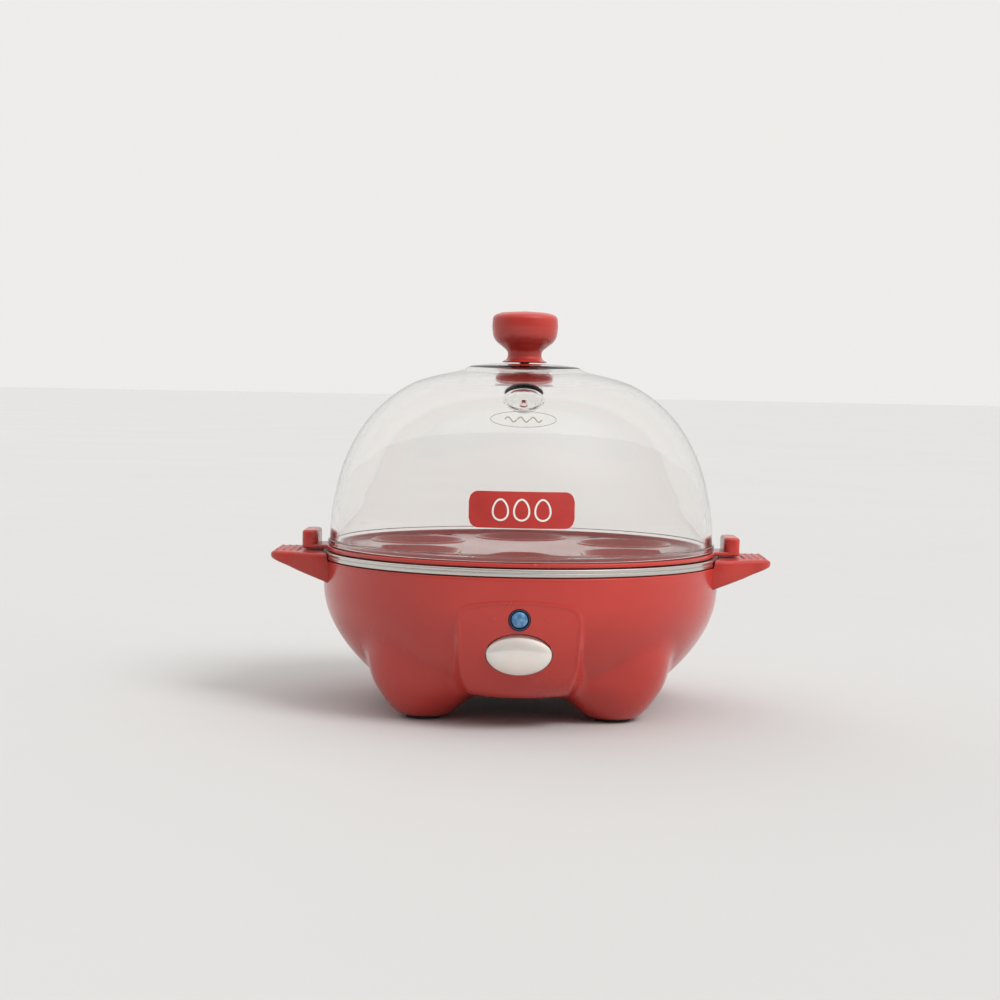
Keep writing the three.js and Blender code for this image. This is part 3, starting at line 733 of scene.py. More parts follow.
def shell_skin():
    """Closed shell: the outer skin is found along rays from a point inside, the rest is turned."""
    angles = round_angles(1.0, 0.3, 20)
    middle = np.array([0.0, 0.0, 46.0])
    bowl = sizes().bowl_radius / MM
    floor = sizes().bowl_floor / MM
    turn = sizes().bowl_turn / MM
    lip = rounded([(bowl - 2.4, 48.7, 0), (bowl - 2.4, RIM_SEAT, 0.5), (bowl, RIM_SEAT, 0.6),
                   (bowl, 51.5, 0)], steps=3)
    wall = [Vector((float(bowl_radius(z)), z)) for z in np.linspace(51.2, floor + 1, 120)]
    line = wall + [Vector((50.0, floor)), Vector((HATCH_R + 0.6, floor))]
    targets = spaced(line, lambda p: 0.5 if p.y < 48 and p.x > 56 else 0.9)
    hatch = [Vector(p) for p in ((HATCH_R, floor), (HATCH_R, 12), (25, 12), (25, 14), (32.4, 14),
                                 (32.4, 12.4), (49.9, 12.4))]
    inner = [Vector(((bowl - 3.4) - 0.0165 * max(turn - z, 0) ** 2, z)) for z in np.linspace(14.5, turn, 14)]
    inner += [Vector((bowl - 3.4, 48.7))]

    cos, sin = np.cos(angles), np.sin(angles)
    aim_r = np.array([t.x for t in targets])[:, None]
    aim_z = np.array([t.y for t in targets])[:, None] + 0 * cos[None, :]
    way = np.stack([aim_r * cos, aim_r * sin, aim_z - middle[2]])

    def field(t):
        return shell_field(way[0] * t, way[1] * t, middle[2] + way[2] * t)

    # walk out along each ray to the first crossing, then close in on it by halves
    inside = np.full(aim_z.shape, 0.8)
    found = np.zeros(aim_z.shape, bool)
    outside = inside.copy()
    for t in np.arange(0.81, 1.5, 0.01):
        beyond = (field(np.full(aim_z.shape, t)) > 0) & ~found
        outside[beyond] = t
        inside[beyond] = t - 0.01
        found |= beyond
    for _ in range(18):
        half = (inside + outside) / 2
        beyond = field(half) > 0
        outside = np.where(beyond, half, outside)
        inside = np.where(beyond, inside, half)
    skin = way * inside + middle[:, None, None]

    rings = [np.stack([p.x * cos, p.x * sin, 0 * cos + p.y]) for p in lip]
    rings += [skin[:, i, :] for i in range(skin.shape[1])]
    rings += [np.stack([p.x * cos, p.x * sin, 0 * cos + p.y]) for p in hatch + inner]
    vertices = [tuple(point) for ring in rings for point in ring.T.tolist()]
    return vertices, bridged(ring_numbers(len(rings), len(angles)), closed=True)


HANDLE_TOP = 55.3
HANDLE_ROOT = 70.0  # where a handle starts, inside the shell's wall
HANDLE_TIP = SHELL_HIGH.x
RIDGE_PITCH, RIDGE_RISE = 2.4, 0.6  # grip ridges across a handle's top


def handle_ring(share, side):
    """One cross-section of a wing handle, `share` of the way from the shell to the tip."""
    tip = HANDLE_TIP
    flat, round_steps = 26, 5
    x = HANDLE_ROOT + (tip - HANDLE_ROOT) * share
    half = 21 - 6 * soft_step(x, 72, 85)
    if x > tip - 6:
        half = 9 + (half - 9) * math.sqrt(max(1 - ((x - tip + 6) / 6) ** 2, 0))
    low = 44.8 + 7.3 * min(max((x - 71.4) / 17, 0), 1) ** 0.86
    middle = (HANDLE_TOP + low) / 2
    thick = (HANDLE_TOP - low) / 2
    if x > tip - 2.2:
        thick *= math.sqrt(max(1 - ((x - tip + 2.2) / 2.2) ** 2, 0.0004))
    corner = min(1.3, thick * 0.9, half * 0.9)
    outline = []
    for cy, cz, start in ((half - corner, thick - corner, 0), (corner - half, thick - corner, 1),
                          (corner - half, corner - thick, 2), (half - corner, corner - thick, 3)):
        for i in range(round_steps):
            a = math.pi / 2 * (start + i / (round_steps - 1))
            outline.append((cy + corner * math.cos(a), cz + corner * math.sin(a)))
        if start % 2 == 0:
            reach = half - corner
            sign = 1 if start == 0 else -1
            outline += [(sign * reach * (1 - 2 * i / flat), sign * thick) for i in range(1, flat)]
    ring = []
    for y, z in outline:
        height = middle + z
        at = x
        if share < 0.5:
            reach = 71.9 if height > RIM_SEAT - 0.1 else 69.8
            start = math.sqrt(reach ** 2 - y ** 2)
            at = start + (x - HANDLE_ROOT) * (80 - start) / 10 if x < 80 else x
        if z > thick - 0.01:
            ridge = max(math.cos((at - 80.6) * 2 * math.pi / RIDGE_PITCH), 0) ** 0.7
            within = float(soft_step(-abs(y), -10.6, -9.4) * soft_step(at, 79.2, 79.6))
            within *= float(1 - soft_step(at, 88.6, 88.9))
            height += RIDGE_RISE * ridge * within
        ring.append((side * at, y, height))
    return ring


def wing_handle(side):
    """A wing handle at one side, -1 or 1: a wedge that narrows and thins towards its tip."""
    shares = [i / 84 for i in range(82)] + [0.985, 0.993, 1.0]
    return lofted([handle_ring(share, side) for share in shares])


class COOKER_OT_base_shell(bpy.types.Operator):
    """Moulds the red base: bowl, four legs, front panel and two wing handles"""

    bl_idname = "cooker.base_shell"
    bl_label = "Base Shell"

    def execute(self, context):
        red = red_plastic()
        shell = put("base_shell", *shell_skin(), red)
        spread = sizes().leg_spread / MM
        pocket = [(0, -2), (FOOT_HIGH.x - spread + 0.3, -2), (FOOT_HIGH.x - spread + 0.3, 3.4), (0, 3.4)]
        cuts = [moved(revolved(pocket, 48), x * spread, y * spread) for x in (-1, 1) for y in (-1, 1)]
        half_w = BUTTON_HIGH.x - 1.5
        half_h = (BUTTON_HIGH.z - BUTTON_LOW.z) / 2 - 1.5
        cuts.append(prism_front(half_w + 0.35, half_h + 0.35, BUTTON_Z, -80, -50))
        cuts.append(prism_front(3.75, 3.75, LIGHT_Z, -80, -60, 48))
        cuts.append(prism_front(4.6, 4.6, GLAND_Z, 40, 80, 48))
        boolean(shell, put("cuts", *joined(cuts)), sharp=55)
        finish_piece(shell, "base", "red_shell", "base_housing")
        for side, name in ((-1, "wing_handle_left"), (1, "wing_handle_right")):
            handle = put(name, *wing_handle(side), red_grip(), sharp=50)
            finish_piece(handle, "base", "red_shell")
        return {"FINISHED"}


class COOKER_OT_underside(bpy.types.Operator):
    """Closes the base from below: cover, its screws and the four rubber feet"""

    bl_idname = "cooker.underside"
    bl_label = "Cover and Feet"

    def execute(self, context):
        low, high = COVER_LOW.z, COVER_HIGH.z
        edge = COVER_HIGH.x
        profile = rounded([(0, low, 0), (10, low, 0.2), (10.6, low + 0.4, 0.2), (11.4, low + 0.4, 0.2),
                           (12, low, 0.2), (edge - 3, low, 0.2), (edge - 2.6, low + 0.4, 0.2),
                           (edge - 2.0, low + 0.4, 0.2), (edge - 1.6, low, 0.2), (edge, low, 0.4),
                           (edge, high, 0.2), (0, high, 0)], steps=3)
        cover = put("bottom_cover_plate", *revolved(profile, 128), dark_plastic())
        spots = [box_mm(f"cover_screw_{i}") for i in (1, 2, 3)]
        hole = [(0, -2), (2.1, -2), (2.1, 30), (0, 30)]
        cuts = [moved(revolved(hole, 32), (a.x + b.x) / 2, (a.y + b.y) / 2) for a, b in spots]
        boolean(cover, put("cuts", *joined(cuts)))
        finish_piece(cover, "base", "dark_trim", "bottom_cover")
        for number, (a, b) in enumerate(spots, 1):
            screw = put(f"cover_screw_body_{number}", *pan_screw(3.4, 1.6, a.z, b.z), fastener_steel())
            boolean(screw, put("cuts", *cross_slot(a.z, 3.4)))
            screw.location = Vector(((a.x + b.x) / 2, (a.y + b.y) / 2, 0)) * MM
            bpy.context.view_layer.update()
            finish_piece(screw, "base", "fastener_steel", f"cover_screw_{number}")
        for number in (1, 2, 3, 4):
            a, b = box_mm(f"foot_{number}")
            half = (b.x - a.x) / 2
            pad = rounded([(0, 0.25, 0), (1.6, 0.25, 0), (2.0, 0, 0.2), (3.4, 0, 0.2), (3.8, 0.35, 0.2),
                           (4.2, 0.35, 0.2), (4.6, 0, 0.2), (half, 0, 0.6), (half, b.z, 0.3),
                           (0, b.z, 0)], steps=3)
            foot = put(f"rubber_foot_{number}",
                       *moved(revolved(pad, 64), (a.x + b.x) / 2, (a.y + b.y) / 2), rubber())
            finish_piece(foot, "base", "foot_rubber", f"foot_{number}")
        return {"FINISHED"}


def pan_screw(head_r, shank_r, low, high):
    """A screw standing head down, its head rounded."""
    tip = high - 1.5
    profile = [(0, low, 0), (head_r, low, 1.0), (head_r, low + 1.6, 0.3), (shank_r, low + 1.6, 0)]
    thread = []
    z = low + 2.2
    while z < tip:
        thread += [(shank_r - 0.3, z, 0), (shank_r, z + 0.35, 0)]
        z += 0.7
    return revolved(rounded(profile + thread + [(shank_r - 0.5, tip, 0), (0, high, 0)], steps=3), 40)


def cross_slot(low, head_r):
    """Two crossed bars for a screw's drive recess."""
    bars = []
    for wide, deep in ((head_r * 0.55, 0.35), (0.35, head_r * 0.55)):
        corners = ((-wide, -deep), (wide, -deep), (wide, deep), (-wide, deep))
        bars.append(lofted([[(x, y, z) for x, y in corners] for z in (low - 1, low + 0.9)]))
    return joined(bars)


# --- plate and tray -------------------------------------------------------------------------------


class COOKER_OT_heating_plate(bpy.types.Operator):
    """Spins the steel heating plate: shallow dish and rolled rim"""

    bl_idname = "cooker.heating_plate"
    bl_label = "Heating Plate"

    def execute(self, context):
        rim_r, top, low = PLATE_HIGH.x, PLATE_HIGH.z, PLATE_LOW.z
        rim_low = top - 2.7
        wall, thick = 67.5, 1.2
        profile = rounded([
            (0, low, 0), (wall, low, 3.2), (wall, rim_low, 0.4), (rim_r, rim_low, 1.0),
            (rim_r, rim_low + 1.25, 0.3), (rim_r - 0.35, rim_low + 1.42, 0.2), (rim_r, rim_low + 1.6, 0.3),
            (rim_r, top, 1.1), (wall - thick, top, 1.2), (wall - thick, low + thick, 2.4),
            (46, low + thick, 0.6), (45, low + thick + 0.5, 0.6), (43, low + thick + 0.5, 0.6),
            (42, low + thick, 0.6), (0, low + thick, 0)], steps=7)
        plate = put("plate_dish", *revolved(profile, 192), dish_steel(), polished_steel(), sharp=60)
        for face in plate.data.polygons:
            if face.center.z > (rim_low - 1.2) * MM:
                face.material_index = 1
        finish_piece(plate, "base", "plate_steel", "heating_plate")
        return {"FINISHED"}


SEAT_R = 17.0
SEAT_LOW = TRAY_LOW.z
SEAT_RING = 45.0  # the seats' distance from the middle
STEAM_RING = 58.0  # and the steam holes'
TAB_HALF = 9.0


class COOKER_OT_egg_tray(bpy.types.Operator):
    """Moulds the red egg tray: six dished seats, steam holes, locating ring and finger tabs"""

    bl_idname = "cooker.egg_tray"
    bl_label = "Egg Tray"

    def execute(self, context):
        edge = TRAY_HIGH.y
        low = PLATE_HIGH.z + 0.3
        top = DOME_LOW.z - 0.3
        ring_r = 67.1
        disc = rounded([
            (0, low, 0), (edge, low, 0.5), (edge, top, 0.6), (ring_r, top, 0.25), (ring_r, top + 1.4, 0.45),
            (ring_r - 1, top + 1.4, 0.45), (ring_r - 1, top, 0.4), (0, top, 0)], steps=4)
        tray = put("egg_tray_body", *revolved(disc, 192), red_plastic("Tray red plastic"))
        off = 0.1  # turned a hair from the disc's own spokes, so that the holes cut cleanly
        seats = [math.radians(30 + off + 60 * i) for i in range(6)]
        holes = [math.radians(off + 60 * i) for i in range(6)]
        spots = [(SEAT_RING * math.cos(a), SEAT_RING * math.sin(a)) for a in seats]
        well = [(0, low - 3), (SEAT_R + 0.8, low - 3), (SEAT_R + 0.8, top + 3), (0, top + 3)]
        steam = [(0, low - 3), (2.3, low - 3), (2.3, top + 3), (0, top + 3)]
        cuts = [moved(revolved(well, 72), x, y) for x, y in spots]
        cuts += [moved(revolved(steam, 32), STEAM_RING * math.cos(a), STEAM_RING * math.sin(a))
                 for a in holes]
        boolean(tray, put("cuts", *joined(cuts)))
        seat = rounded([
            (SEAT_R + 1.35, top - 0.3, 0.1), (SEAT_R + 1.0, top + 0.35, 0.2), (SEAT_R + 0.1, top + 0.35, 0.4),
            (SEAT_R - 4.6, SEAT_LOW + 0.25, 0.3), (SEAT_R - 4.6, SEAT_LOW, 0.2), (SEAT_R - 3, SEAT_LOW, 0.4),
            (SEAT_R + 0.9, low - 0.3, 0.3), (SEAT_R + 1.35, low + 0.3, 0.1)], closed=True, steps=4)
        rings = [moved(revolved(seat, 72, closed=True), x, y) for x, y in spots]
        tabs = []
        for side in (-1, 1):
            tabs.append(tray_tab(side, low))
            tabs.append(tray_arm(side, low, top))
        boolean(tray, put("rings", *joined(rings)), "UNION")
        for shape in tabs:
            boolean(tray, put("tab", *shape), "UNION")
        finish_piece(tray, "tray", "red_tray", "egg_tray")
        return {"FINISHED"}


def plan_ring(x0, x1, half, corner, z, inset=0.0, steps=6):
    """A rounded rectangle in plan, at height z."""
    corner = max(corner - inset, 0.2)
    x0, x1, half = x0 + inset, x1 - inset, half - inset
    centres = ((x1 - corner, half - corner), (x0 + corner, half - corner),
               (x0 + corner, corner - half), (x1 - corner, corner - half))
    ring = []
    for quarter, (cx, cy) in enumerate(centres):
        for i in range(steps):
            a = math.pi / 2 * (quarter + i / (steps - 1))
            ring.append((cx + corner * math.cos(a), cy + corner * math.sin(a), z))
    return ring


def mirrored(shape, side):
    vertices, faces = shape
    return [(side * x, y, z) for x, y, z in vertices], faces


def tray_tab(side, low):
    """An upright finger tab with a rounded top edge."""
    inner, outer, edge = TRAY_HIGH.x - 5.7, TRAY_HIGH.x, 1.1
    levels = [(low, 0.5), (low + 0.5, 0)]
    for i in range(7):
        a = math.pi / 2 * i / 6
        levels.append((TRAY_HIGH.z - edge * (1 - math.sin(a)), edge * (1 - math.cos(a))))
    rings = [plan_ring(inner, outer, TAB_HALF, 2.4, z, inset) for z, inset in levels]
    return mirrored(lofted(rings), side)


def tray_arm(side, low, top):
    """The flat arm from the disc out to a finger tab."""
    low, top = low + 0.07, top - 0.07  # clear of the disc's faces, so that they join cleanly
    rings = [plan_ring(63.3, 76, TAB_HALF, 0.6, z, inset) for z, inset in
             ((low, 0.3), (low + 0.3, 0), (top - 0.3, 0), (top, 0.3))]
    return mirrored(lofted(rings), side)


# --- lid ------------------------------------------------------------------------------------------

BEAD_TOP = DOME_LOW.z + 1.9
DOME_R = DOME_HIGH.x - 0.5
VENT_Z = 112.6
VENT_R = 6.4
HOLE_R = 1.7


def dome_outside():
    """The dome's outline from above its bead to the screw hole in its crown."""
    wall = smooth_curve([(DOME_R, BEAD_TOP + 0.5), (68, 75), (63.2, 91), (54, 105.5), (40.1, 116.2),
                         (23, 121)], 40)
    crown = rounded([(23, 121, 0), (21.2, 121.6, 1.2), (19.8, 122.75, 1.4), (12, 123.6, 6), (2.4, 123.85, 0)],
                    steps=6)
    return wall + crown[1:]


def dome_radius(z):
    """Outer radius of the dome's wall at a height."""
    line = [p for p in dome_outside() if p.x > 20]
    heights = [p.y for p in line]
    return float(np.interp(z, heights, [p.x for p in line]))


def dome_wall():
    """The dome's wall and bead as one closed turned skin, pressed in at the vent."""
    outside = spaced(dome_outside(), lambda p: 0.45 if 103 < p.y < 120 and p.x > 24 else 1.1)
    inside = offset_line(outside, -sizes().dome_thickness / MM)
    inside = [Vector((max(p.x, 2.4), p.y)) for p in inside]
    inside[-1] = Vector((2.4, outside[-1].y - sizes().dome_thickness / MM))
    foot = rounded([
        (inside[0].x, BEAD_TOP + 0.4, 0), (inside[0].x, DOME_LOW.z, 0.35), (DOME_HIGH.x, DOME_LOW.z, 0.6),
        (DOME_HIGH.x, BEAD_TOP, 0.5), (DOME_R, BEAD_TOP + 0.25, 0.2), (DOME_R, BEAD_TOP + 0.45, 0)], steps=4)
    outline = foot[:-1] + outside + inside[::-1]
    angles = round_angles(2.4, 0.55, 14)
    cos, sin = np.cos(angles), np.sin(angles)
    centre = np.array([0, -dome_radius(VENT_Z), VENT_Z])
    out = np.array([0, -0.72, 0.69])
    out /= np.linalg.norm(out)
    vertices = []
    for p in outline:
        ring = np.stack([p.x * cos, p.x * sin, 0 * cos + p.y], axis=1)
        from_vent = ring - centre
        along = from_vent @ out
        aside = np.linalg.norm(from_vent - along[:, None] * out, axis=1)
        near = np.abs(along) < 12
        depth = 4.6 * (1 - soft_step(aside, 3.6, VENT_R + 0.9)) * near
        vertices += (ring - depth[:, None] * out).tolist()
    return vertices, bridged(ring_numbers(len(outline), len(angles)), closed=True), centre, out


class COOKER_OT_dome(bpy.types.Operator):
    """Moulds the clear dome with its bottom bead, raised crown and dimpled steam vent"""

    bl_idname = "cooker.dome"
    bl_label = "Dome"

    def execute(self, context):
        vertices, faces, centre, out = dome_wall()
        dome = put("clear_dome", vertices, faces, clear_plastic(), sharp=50)
        across = Vector((1, 0, 0))
        up = Vector(out).cross(across).normalized()
        rings = []
        for reach in (-16, 10):
            middle = Vector(centre) + Vector((0, 0, 1.4)) + Vector(out) * reach
            rings.append([tuple(middle + (across * cos + up * sin) * HOLE_R) for cos, sin in circle(32)])
        boolean(dome, put("cuts", *lofted(rings)), sharp=50)
        finish_piece(dome, "lid", "clear_dome", "lid_dome")
        return {"FINISHED"}


PRINT_LIFT = 0.06  # how far the first layer of a print stands off the dome


def on_dome(x, z, lift):
    """The point of the dome's front that lies at x and z, raised a hair."""
    radius = dome_radius(z) + lift
    return (x, -math.sqrt(max(radius ** 2 - x ** 2, 0)), z)


def print_patch(half_w, z0, z1, corner):
    """A block with four round corners laid on the dome."""
    columns, rows = 70, 24
    rings = []
    for i in range(columns + 1):
        x = half_w * (2 * i / columns - 1)
        into = max(abs(x) - (half_w - corner), 0)
        trim = corner - math.sqrt(max(corner ** 2 - into ** 2, 0))
        low, high = z0 + trim, z1 - trim
        rings.append([on_dome(x, low + (high - low) * j / rows, PRINT_LIFT) for j in range(rows + 1)])
    return strip(rings)


def strip(rings):
    """An open sheet through rows of points."""
    count = len(rings[0])
    vertices = [p for ring in rings for p in ring]
    faces = []
    for i in range(len(rings) - 1):
        for j in range(count - 1):
            a = i * count + j
            faces.append([a, a + count, a + count + 1, a + 1])
    return vertices, faces


def print_line(points, width):
    """A printed line of even width on the dome, through (x, z) points."""
    rings = []
    for i, point in enumerate(points):
        along = points[min(i + 1, len(points) - 1)] - points[max(i - 1, 0)]
        side = Vector((along.y, -along.x)).normalized() * width / 2
        rings.append([on_dome(*(point + side * s), PRINT_LIFT * 2) for s in (-1, 0, 1)])
    return strip(rings)


def loop_points(cx, cz, rx, rz, egg=0.0, count=72):
    """A closed oval; egg above zero narrows its top."""
    points = []
    for i in range(count + 1):
        a = 2 * math.pi * i / count
        narrow = 1 - egg * math.sin(a)
        points.append(Vector((cx + rx * math.cos(a) * narrow, cz + rz * math.sin(a))))
    return points


class COOKER_OT_prints(bpy.types.Operator):
    """Prints a plain red block with an egg outline, and a steam mark under the vent, on the dome"""

    bl_idname = "cooker.prints"
    bl_label = "Prints on the Dome"

    def execute(self, context):
        half = sizes().label_width / MM / 2
        height = sizes().label_height / MM
        low = 69.0
        label = put("dome_label", *print_patch(half, low, low + height, 3.2),
                    plain_finish("Red print", (0.46, 0.03, 0.025, 1.0), 0.35, 0.5, lighter=1.1))
        finish_piece(label, "lid", "red_knob")
        white = plain_finish("White print", (0.82, 0.8, 0.76, 1.0), 0.4, 0.55, lighter=1.05)
        middle = low + height / 2
        marks = [print_line(loop_points(x, middle, 2.5, 3.4, 0.16), 0.6) for x in (-7, 0, 7)]
        eggs = put("dome_label_eggs", *joined(marks), white)
        finish_piece(eggs, "lid", "button_pearl")
        grey = plain_finish("Grey print", (0.34, 0.3, 0.24, 1.0), 0.4, 0.6, lighter=1.2)
        lines = [print_line(loop_points(0, 104.6, 11, 2.6), 0.22)]
        for start in (-6.2, -2.0, 2.2):
            wave = [Vector((start + 4 * t / 20, 104.5 + 0.8 * math.sin(2 * math.pi * t / 20)))
                    for t in range(21)]
            lines.append(print_line(wave, 0.45))
        steam = put("dome_steam_mark", *joined(lines), grey)
        finish_piece(steam, "lid", "dark_trim")
        return {"FINISHED"}


class COOKER_OT_knob(bpy.types.Operator):
    """Turns the red lid knob, the washer under the dome and the screw that holds them"""

    bl_idname = "cooker.knob"
    bl_label = "Lid Knob"

    def execute(self, context):
        foot, top, widest = KNOB_LOW.z, KNOB_HIGH.z, KNOB_HIGH.x
        neck = smooth_curve([(7.9, foot + 0.45), (6.6, foot + 1.2), (6.1, foot + 2.6), (6.5, foot + 4.2),
                             (8.2, foot + 5.7), (10.3, foot + 7.4), (11.5, foot + 9.6),
                             (widest, foot + 12.8)], 8)
        crown = rounded([(widest, foot + 12.8, 0), (widest - 0.2, top - 1.7, 3.4), (8.6, top - 0.6, 4),
                         (0, top, 0)], steps=9)
        outline = [Vector((0, foot)), Vector((7.8, foot)), Vector((8.15, foot + 0.2))] + neck + crown[1:]
        knob = put("knob_body", *revolved(outline, 128), red_plastic("Knob red plastic"), sharp=45)
        finish_piece(knob, "lid", "red_knob", "lid_knob")
        low, high, edge = WASHER_LOW.z, WASHER_HIGH.z, WASHER_HIGH.x
        ring = rounded([(2.4, low, 0.2), (4.6, low, 0.3), (5.2, low + 0.4, 0.3), (edge - 1, low, 0.5),
                        (edge, low + 0.5, 0.6), (edge, high, 0.5), (2.4, high, 0.2)], closed=True, steps=5)
        washer = put("washer_body", *revolved(ring, 96, closed=True), red_plastic("Knob red plastic"))
        finish_piece(washer, "lid", "red_knob", "knob_washer")
        screw = put("knob_screw_body", *pan_screw(3.6, 1.9, SCREW_LOW.z, SCREW_HIGH.z), fastener_steel())
        boolean(screw, put("cuts", *cross_slot(SCREW_LOW.z, 3.6)))
        finish_piece(screw, "lid", "fastener_steel", "knob_screw")
        return {"FINISHED"}


# --- controls -------------------------------------------------------------------------------------


class COOKER_OT_button(bpy.types.Operator):
    """Moulds the oval push button and winds its return spring"""

    bl_idname = "cooker.button"
    bl_label = "Push Button"

    def execute(self, context):
        half_w = BUTTON_HIGH.x - 1.5
        half_h = (BUTTON_HIGH.z - BUTTON_LOW.z) / 2 - 1.5
        front, edge = BUTTON_LOW.y, BUTTON_LOW.y + 1.8
        back = edge + 8.2
        sections = [(1.5, back), (1.5, back - 1.4), (0, back - 1.4), (0, edge + 0.3)]
        rings = []
        for grow, y in sections:
            rings.append(oval_ring(half_w + grow, half_h + grow, y, BUTTON_Z))
        for i in range(1, 16):
            a = math.pi / 2 * i / 15
            share = math.cos(a)
            lift = math.sin(a) ** 1.25
            rings.append(oval_ring(max(half_w * share ** 0.8, 0.05), max(half_h * share ** 0.8, 0.03),
                                   edge + 0.3 - (edge + 0.3 - front) * lift, BUTTON_Z))
        button = put("push_button", *lofted(rings), pearl_plastic(), sharp=45)
        stem = [(0, back - 0.5, 0), (3, back - 0.5, 0), (3, BUTTON_HIGH.y, 0.4), (0, BUTTON_HIGH.y, 0)]
        rod = to_front(revolved(rounded(stem), 32), BUTTON_Z)
        boolean(button, put("stem", *rod), "UNION", sharp=45)
        finish_piece(button, "button", "button_pearl", "power_button")
        spring = put("return_spring", *coil(), fastener_steel())
        finish_piece(spring, "base", "fastener_steel", "button_spring")
        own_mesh(spring)
        return {"FINISHED"}


def coil():
    """The button's return spring: round wire wound about the stem, with closed end turns."""
    low, high = box_mm("button_spring")
    wire, turns, steps = 0.35, 4, 32
    across = high.x - wire
    rings = []
    for i in range(turns * steps + 1):
        a = 2 * math.pi * i / steps
        y = low.y + wire + (high.y - low.y - 2 * wire) * float(soft_step(i / (turns * steps), 0, 1))
        out = Vector((math.cos(a), 0, math.sin(a)))
        centre = Vector((0, y, BUTTON_Z)) + across * out
        rings.append([tuple(centre + wire * (cos * out + sin * Vector((0, 1, 0))))
                      for cos, sin in circle(10)])
    return lofted(rings)


class COOKER_OT_indicator(bpy.types.Operator):
    """Makes the blue indicator lens and its dark ring"""

    bl_idname = "cooker.indicator"
    bl_label = "Indicator Light"

    def execute(self, context):
        front, back, r = LENS_LOW.y, LENS_HIGH.y, LENS_HIGH.x
        dome = [(0, front, 0)]
        for i in range(1, 8):
            a = math.pi / 2 * i / 8
            dome.append((r * math.sin(a), front + 0.8 * (1 - math.cos(a)), 0))
        dome += [(r, front + 0.8, 0), (r, back, 0.2), (r - 0.8, back, 0.2), (r - 1.2, back - 0.8, 0.3),
                 (0, back - 1, 0)]
        lens = put("indicator_lens_body", *to_front(revolved(rounded(dome), 64), LIGHT_Z), blue_lens())
        finish_piece(lens, "base", "blue_lens", "indicator_lens")
        front, back = BEZEL_LOW.y, BEZEL_HIGH.y
        edge = BEZEL_HIGH.x
        ring = rounded([(3.05, front, 0.25), (3.5, front, 0.25), (3.5, back - 1.1, 0.1),
                        (edge, back - 1.1, 0.2), (edge, back, 0.2), (3.05, back, 0.2)], closed=True, steps=4)
        navy = plain_finish("Navy plastic", (0.025, 0.04, 0.09, 1.0), 0.25, 0.45, lighter=2.0)
        bezel = put("indicator_ring", *to_front(revolved(ring, 64, closed=True), LIGHT_Z), navy)
        finish_piece(bezel, "base", "dark_trim", "indicator_bezel")
        return {"FINISHED"}


class COOKER_OT_gland(bpy.types.Operator):
    """Makes the rubber gland in the rear wall, where the mains cord would leave"""

    bl_idname = "cooker.gland"
    bl_label = "Cord Gland"

    def execute(self, context):
        inner, outer = GLAND_LOW.y, GLAND_HIGH.y
        r = GLAND_HIGH.x
        ring = rounded([(2.9, inner, 0.2), (4.2, inner, 0.4), (4.2, outer - 1.8, 0.2), (r, outer - 1.8, 0.2),
                        (r, outer - 0.5, 0.5), (5.6, outer - 0.3, 0.3), (5.2, outer, 0.3), (3.4, outer, 0.4),
                        (2.9, outer - 0.8, 0.3)], closed=True, steps=4)
        gland = put("cord_gland_body", *to_front(revolved(ring, 72, closed=True), GLAND_Z), rubber())
        finish_piece(gland, "base", "gland_rubber", "cord_gland")
        return {"FINISHED"}


# --- inner pieces ---------------------------------------------------------------------------------


@made_once("Green circuit board")
def board_finish(name):
    finish = Finish(name, (0.02, 0.13, 0.06, 1.0), 0.35, Coat_Weight=0.4)
    tracks = finish.texture("ShaderNodeTexBrick", Scale=160.0, Mortar_Size=0.06)["Fac"]
    finish.tint(tracks, (0.05, 0.24, 0.11, 1.0), 0.8)
    finish.marks(0.28, 0.45, 120.0)
    finish.bump(tracks, 0.00003, 0.5)
    return finish


@made_once("Woven wire sleeve")
def sleeve_finish(name):
    finish = Finish(name, (0.74, 0.71, 0.64, 1.0), 0.7)
    weave = finish.texture("ShaderNodeTexChecker", Scale=2200.0)["Fac"]
    finish.tint(weave, (0.6, 0.56, 0.48, 1.0), 0.7)
    finish.marks(0.6, 0.85, 150.0)
    finish.bump(weave, 0.0001, 0.6)
    return finish


def inner_finishes():
    """Finish of each CAD node that is carried over."""
    ceramic = plain_finish("Matt ceramic", (0.8, 0.77, 0.7, 1.0), 0.5, 0.7, grain=1300.0)
    tinted = plain_finish("Heat tinted steel", (0.36, 0.31, 0.26, 1.0), 0.35, 0.55, 1.0, 1200.0, 0.00003)
    natural = plain_finish("Natural plastic", (0.68, 0.65, 0.58, 1.0), 0.4, 0.55)
    silicone = plain_finish("Pale silicone", (0.72, 0.7, 0.66, 1.0), 0.5, 0.7, grain=1100.0)
    cup = plain_finish("Stamped aluminium", (0.7, 0.7, 0.69, 1.0), 0.25, 0.42, 1.0, 1500.0, 0.00002)
    lamp = plain_finish("Milky lamp", (0.85, 0.86, 0.8, 1.0), 0.2, 0.35)
    table = {
        "plate_seal": silicone, "heater_element": tinted, "thermostat": cup, "thermal_fuse": ceramic,
        "thermostat_strap": fastener_steel(), "control_board": board_finish(), "push_switch": dark_plastic(),
        "switch_plunger": natural, "button_guide": natural,
        "indicator_led": lamp, "buzzer": dark_plastic(), "terminal_block": ceramic,
    }
    table.update({f"plate_stay_{i}": fastener_steel() for i in (1, 2, 3)})
    table.update({f"board_screw_{i}": fastener_steel() for i in (1, 2)})
    table.update({f"lead_{name}": sleeve_finish() for name in ("live", "switched", "return", "neutral")})
    return table


